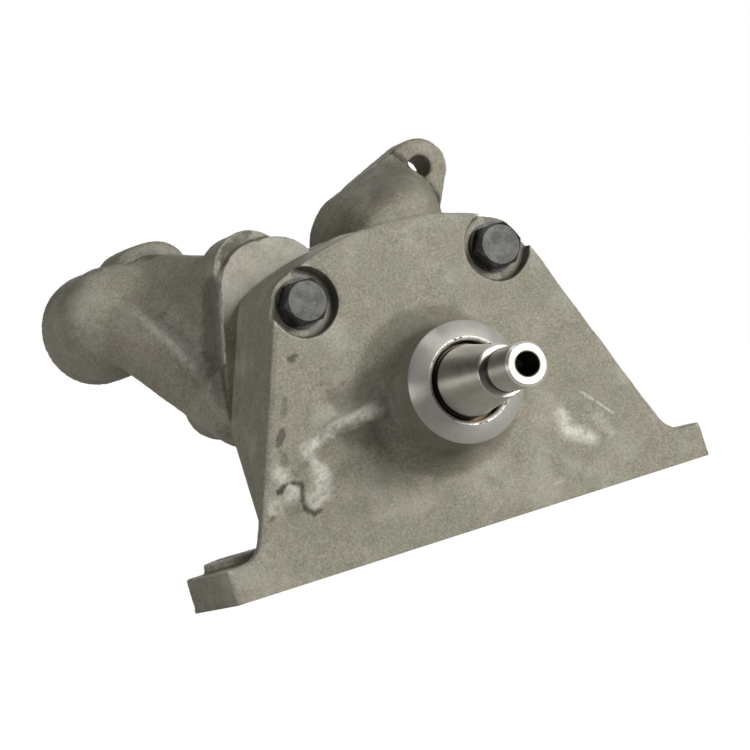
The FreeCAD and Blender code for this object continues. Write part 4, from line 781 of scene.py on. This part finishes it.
SHAFT_SHADE_COLOUR = (0.030, 0.026, 0.020)
SHAFT_SHADE_SHARE = 0.93
SHAFT_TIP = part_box("drive_shaft")[0].y
TIP_HOLE_RADIUS = 4.5 * MM
TIP_HOLE_LENGTH = 20 * MM
UNDERCUT = SHAFT_TIP + 15.6 * MM
UNDERCUT_LENGTH = 5.1 * MM
UNDERCUT_RADIUS = 8.6 * MM
MOUTH_SHADOW = NOSE_FRONT - 0.4 * MM
MOUTH_LENGTH = 20 * MM
SHAFT_SHADOWS = (
    (SHAFT_TIP - 1 * MM, SHAFT_TIP + TIP_HOLE_LENGTH, TIP_HOLE_RADIUS),
    (UNDERCUT, UNDERCUT + UNDERCUT_LENGTH, UNDERCUT_RADIUS),
    (MOUTH_SHADOW, NOSE_FRONT + MOUTH_LENGTH, BUSH_RADIUS),
)

CAST = cast_iron("cast_skin")
STEEL = turned_steel("turned_steel", (0.66, 0.635, 0.58), (0.46, 0.42, 0.35), 0.38, 0.9,
                     shadows=SHAFT_SHADOWS)
NOSE = turned_steel("turned_iron", (0.47, 0.455, 0.415), (0.36, 0.34, 0.30), 0.42, 0.85, 0.7)
GEAR = turned_steel("gear_steel", (0.46, 0.46, 0.46), (0.30, 0.29, 0.27), 0.34, 0.3)
SPRING = turned_steel("spring_steel", (0.30, 0.30, 0.31), (0.16, 0.14, 0.12), 0.4, 0.2)
BRONZE = turned_steel("bronze", (0.14, 0.10, 0.055), (0.06, 0.045, 0.03), 0.4, 0.3)
COPPER = turned_steel("copper_washer", (0.66, 0.36, 0.22), (0.36, 0.20, 0.13), 0.36, 0.3)
PLATED = turned_steel("plated_steel", (0.62, 0.58, 0.46), (0.42, 0.36, 0.26), 0.3, 0.3)
BOLT = bolt_steel("bolt_steel")

LOOKS = {
    "cast_iron": CAST,
    "turned_steel": STEEL,
    "gear_steel": GEAR,
    "spring_steel": SPRING,
    "bronze": BRONZE,
    "copper_washer": COPPER,
    "plated_steel": PLATED,
    "bolt_steel": BOLT,
}

for part in frame["record"]["subparts"]:
    item = frame["nodes"][part["node"]]
    item.data.materials.clear()
    item.data.materials.append(LOOKS[part["material_slot"]])
for casting in (bracket, housing):
    casting.data.materials.append(CAST)
nose_skin.data.materials.append(NOSE)


# Floor, light and camera

FLOOR_HALF = 6.0
FLOOR_GLOW = 0.92
FLOOR_GLOW_STRENGTH = 1.08
FLOOR_PALE = (0.85, 0.85, 0.85)
FLOOR_ROUGH = 0.9


def stage_floor():
    """A pale floor that looks white to the camera where no shadow lies on it."""
    mesh = bpy.data.meshes.new("floor")
    half = FLOOR_HALF
    corners = [(-half, -half, 0), (half, -half, 0), (half, half, 0), (-half, half, 0)]
    mesh.from_pydata(corners, [], [(0, 1, 2, 3)])
    floor = bpy.data.objects.new("floor", mesh)
    scene.collection.objects.link(floor)
    look = Nodes("pale_floor")
    look.set(base_color=FLOOR_PALE, roughness=FLOOR_ROUGH)
    glow = look.add("ShaderNodeEmission")
    glow.inputs["Strength"].default_value = FLOOR_GLOW_STRENGTH
    ray = look.add("ShaderNodeLightPath")
    seen = look.math("MAXIMUM", ray.outputs["Is Camera Ray"], ray.outputs["Is Transmission Ray"])
    blend = look.add("ShaderNodeMixShader")
    look.join(look.math("MULTIPLY", seen, FLOOR_GLOW), blend.inputs["Fac"])
    look.join(look.shader.outputs[0], blend.inputs[1])
    look.join(glow.outputs[0], blend.inputs[2])
    output = look.tree.nodes["Material Output"]
    look.join(blend.outputs[0], output.inputs["Surface"])
    mesh.materials.append(look.material)


WORLD_STRENGTH = 0.10
LIT_PLACE = Vector((0, 0, 0.06))


def world_light(strength):
    """Soft light all round, and white where the camera looks past the object."""
    world = bpy.data.worlds.new("studio")
    scene.world = world
    world.use_nodes = True
    nodes, links = world.node_tree.nodes, world.node_tree.links
    soft = nodes["Background"]
    soft.inputs["Color"].default_value = (1, 1, 1, 1)
    soft.inputs["Strength"].default_value = strength
    white = nodes.new("ShaderNodeBackground")
    white.inputs["Color"].default_value = (1, 1, 1, 1)
    white.inputs["Strength"].default_value = 1.0
    ray = nodes.new("ShaderNodeLightPath")
    blend = nodes.new("ShaderNodeMixShader")
    links.new(ray.outputs["Is Camera Ray"], blend.inputs["Fac"])
    links.new(soft.outputs[0], blend.inputs[1])
    links.new(white.outputs[0], blend.inputs[2])
    links.new(blend.outputs[0], nodes["World Output"].inputs["Surface"])


def area_light(name, place, size, power, tall=None):
    """A soft lamp that points at the pump: round, or upright where it is given a height."""
    light = bpy.data.lights.new(name, "AREA")
    light.shape = "RECTANGLE" if tall else "DISK"
    light.size = size
    if tall:
        light.size_y = tall
    light.energy = power
    lamp = bpy.data.objects.new(name, light)
    scene.collection.objects.link(lamp)
    lamp.location = place
    aim = LIT_PLACE - Vector(place)
    lamp.rotation_euler = aim.to_track_quat("-Z", "Y").to_euler()


# The camera, as fitted to outline points of the photo

CAMERA_RIGHT = Vector((0.89035, -0.34984, -0.29137))
CAMERA_UP = Vector((0.26944, -0.11097, 0.95661))
LENS_IN_PIXELS = 4151.77
IMAGE_SIDE = 750
SENSOR = 36
CLIP_START = 0.05


def add_camera():
    camera = bpy.data.cameras.new("camera")
    camera.sensor_width = SENSOR
    camera.lens = LENS_IN_PIXELS / IMAGE_SIDE * SENSOR
    camera.clip_start = CLIP_START
    seen_from = bpy.data.objects.new("camera", camera)
    scene.collection.objects.link(seen_from)
    right = CAMERA_RIGHT.normalized()
    back = right.cross(CAMERA_UP).normalized()
    up = back.cross(right)
    turn = Matrix((right, up, back)).transposed().to_4x4()
    seen_from.matrix_world = Matrix.Translation(CAMERA_PLACE) @ turn
    scene.camera = seen_from


stage_floor()
world_light(WORLD_STRENGTH)
area_light("key", (0.62, -1.35, 0.36), size=0.6, power=17.5)
area_light("top", (-0.2, -0.2, 1.7), size=0.7, power=3)
area_light("back", (0.8, 1.9, 0.6), size=1.0, power=8)
area_light("strip", (-1.6, -0.1, 0.25), size=0.14, power=5.5, tall=0.6)
add_camera()
scene.view_settings.view_transform = "Standard"
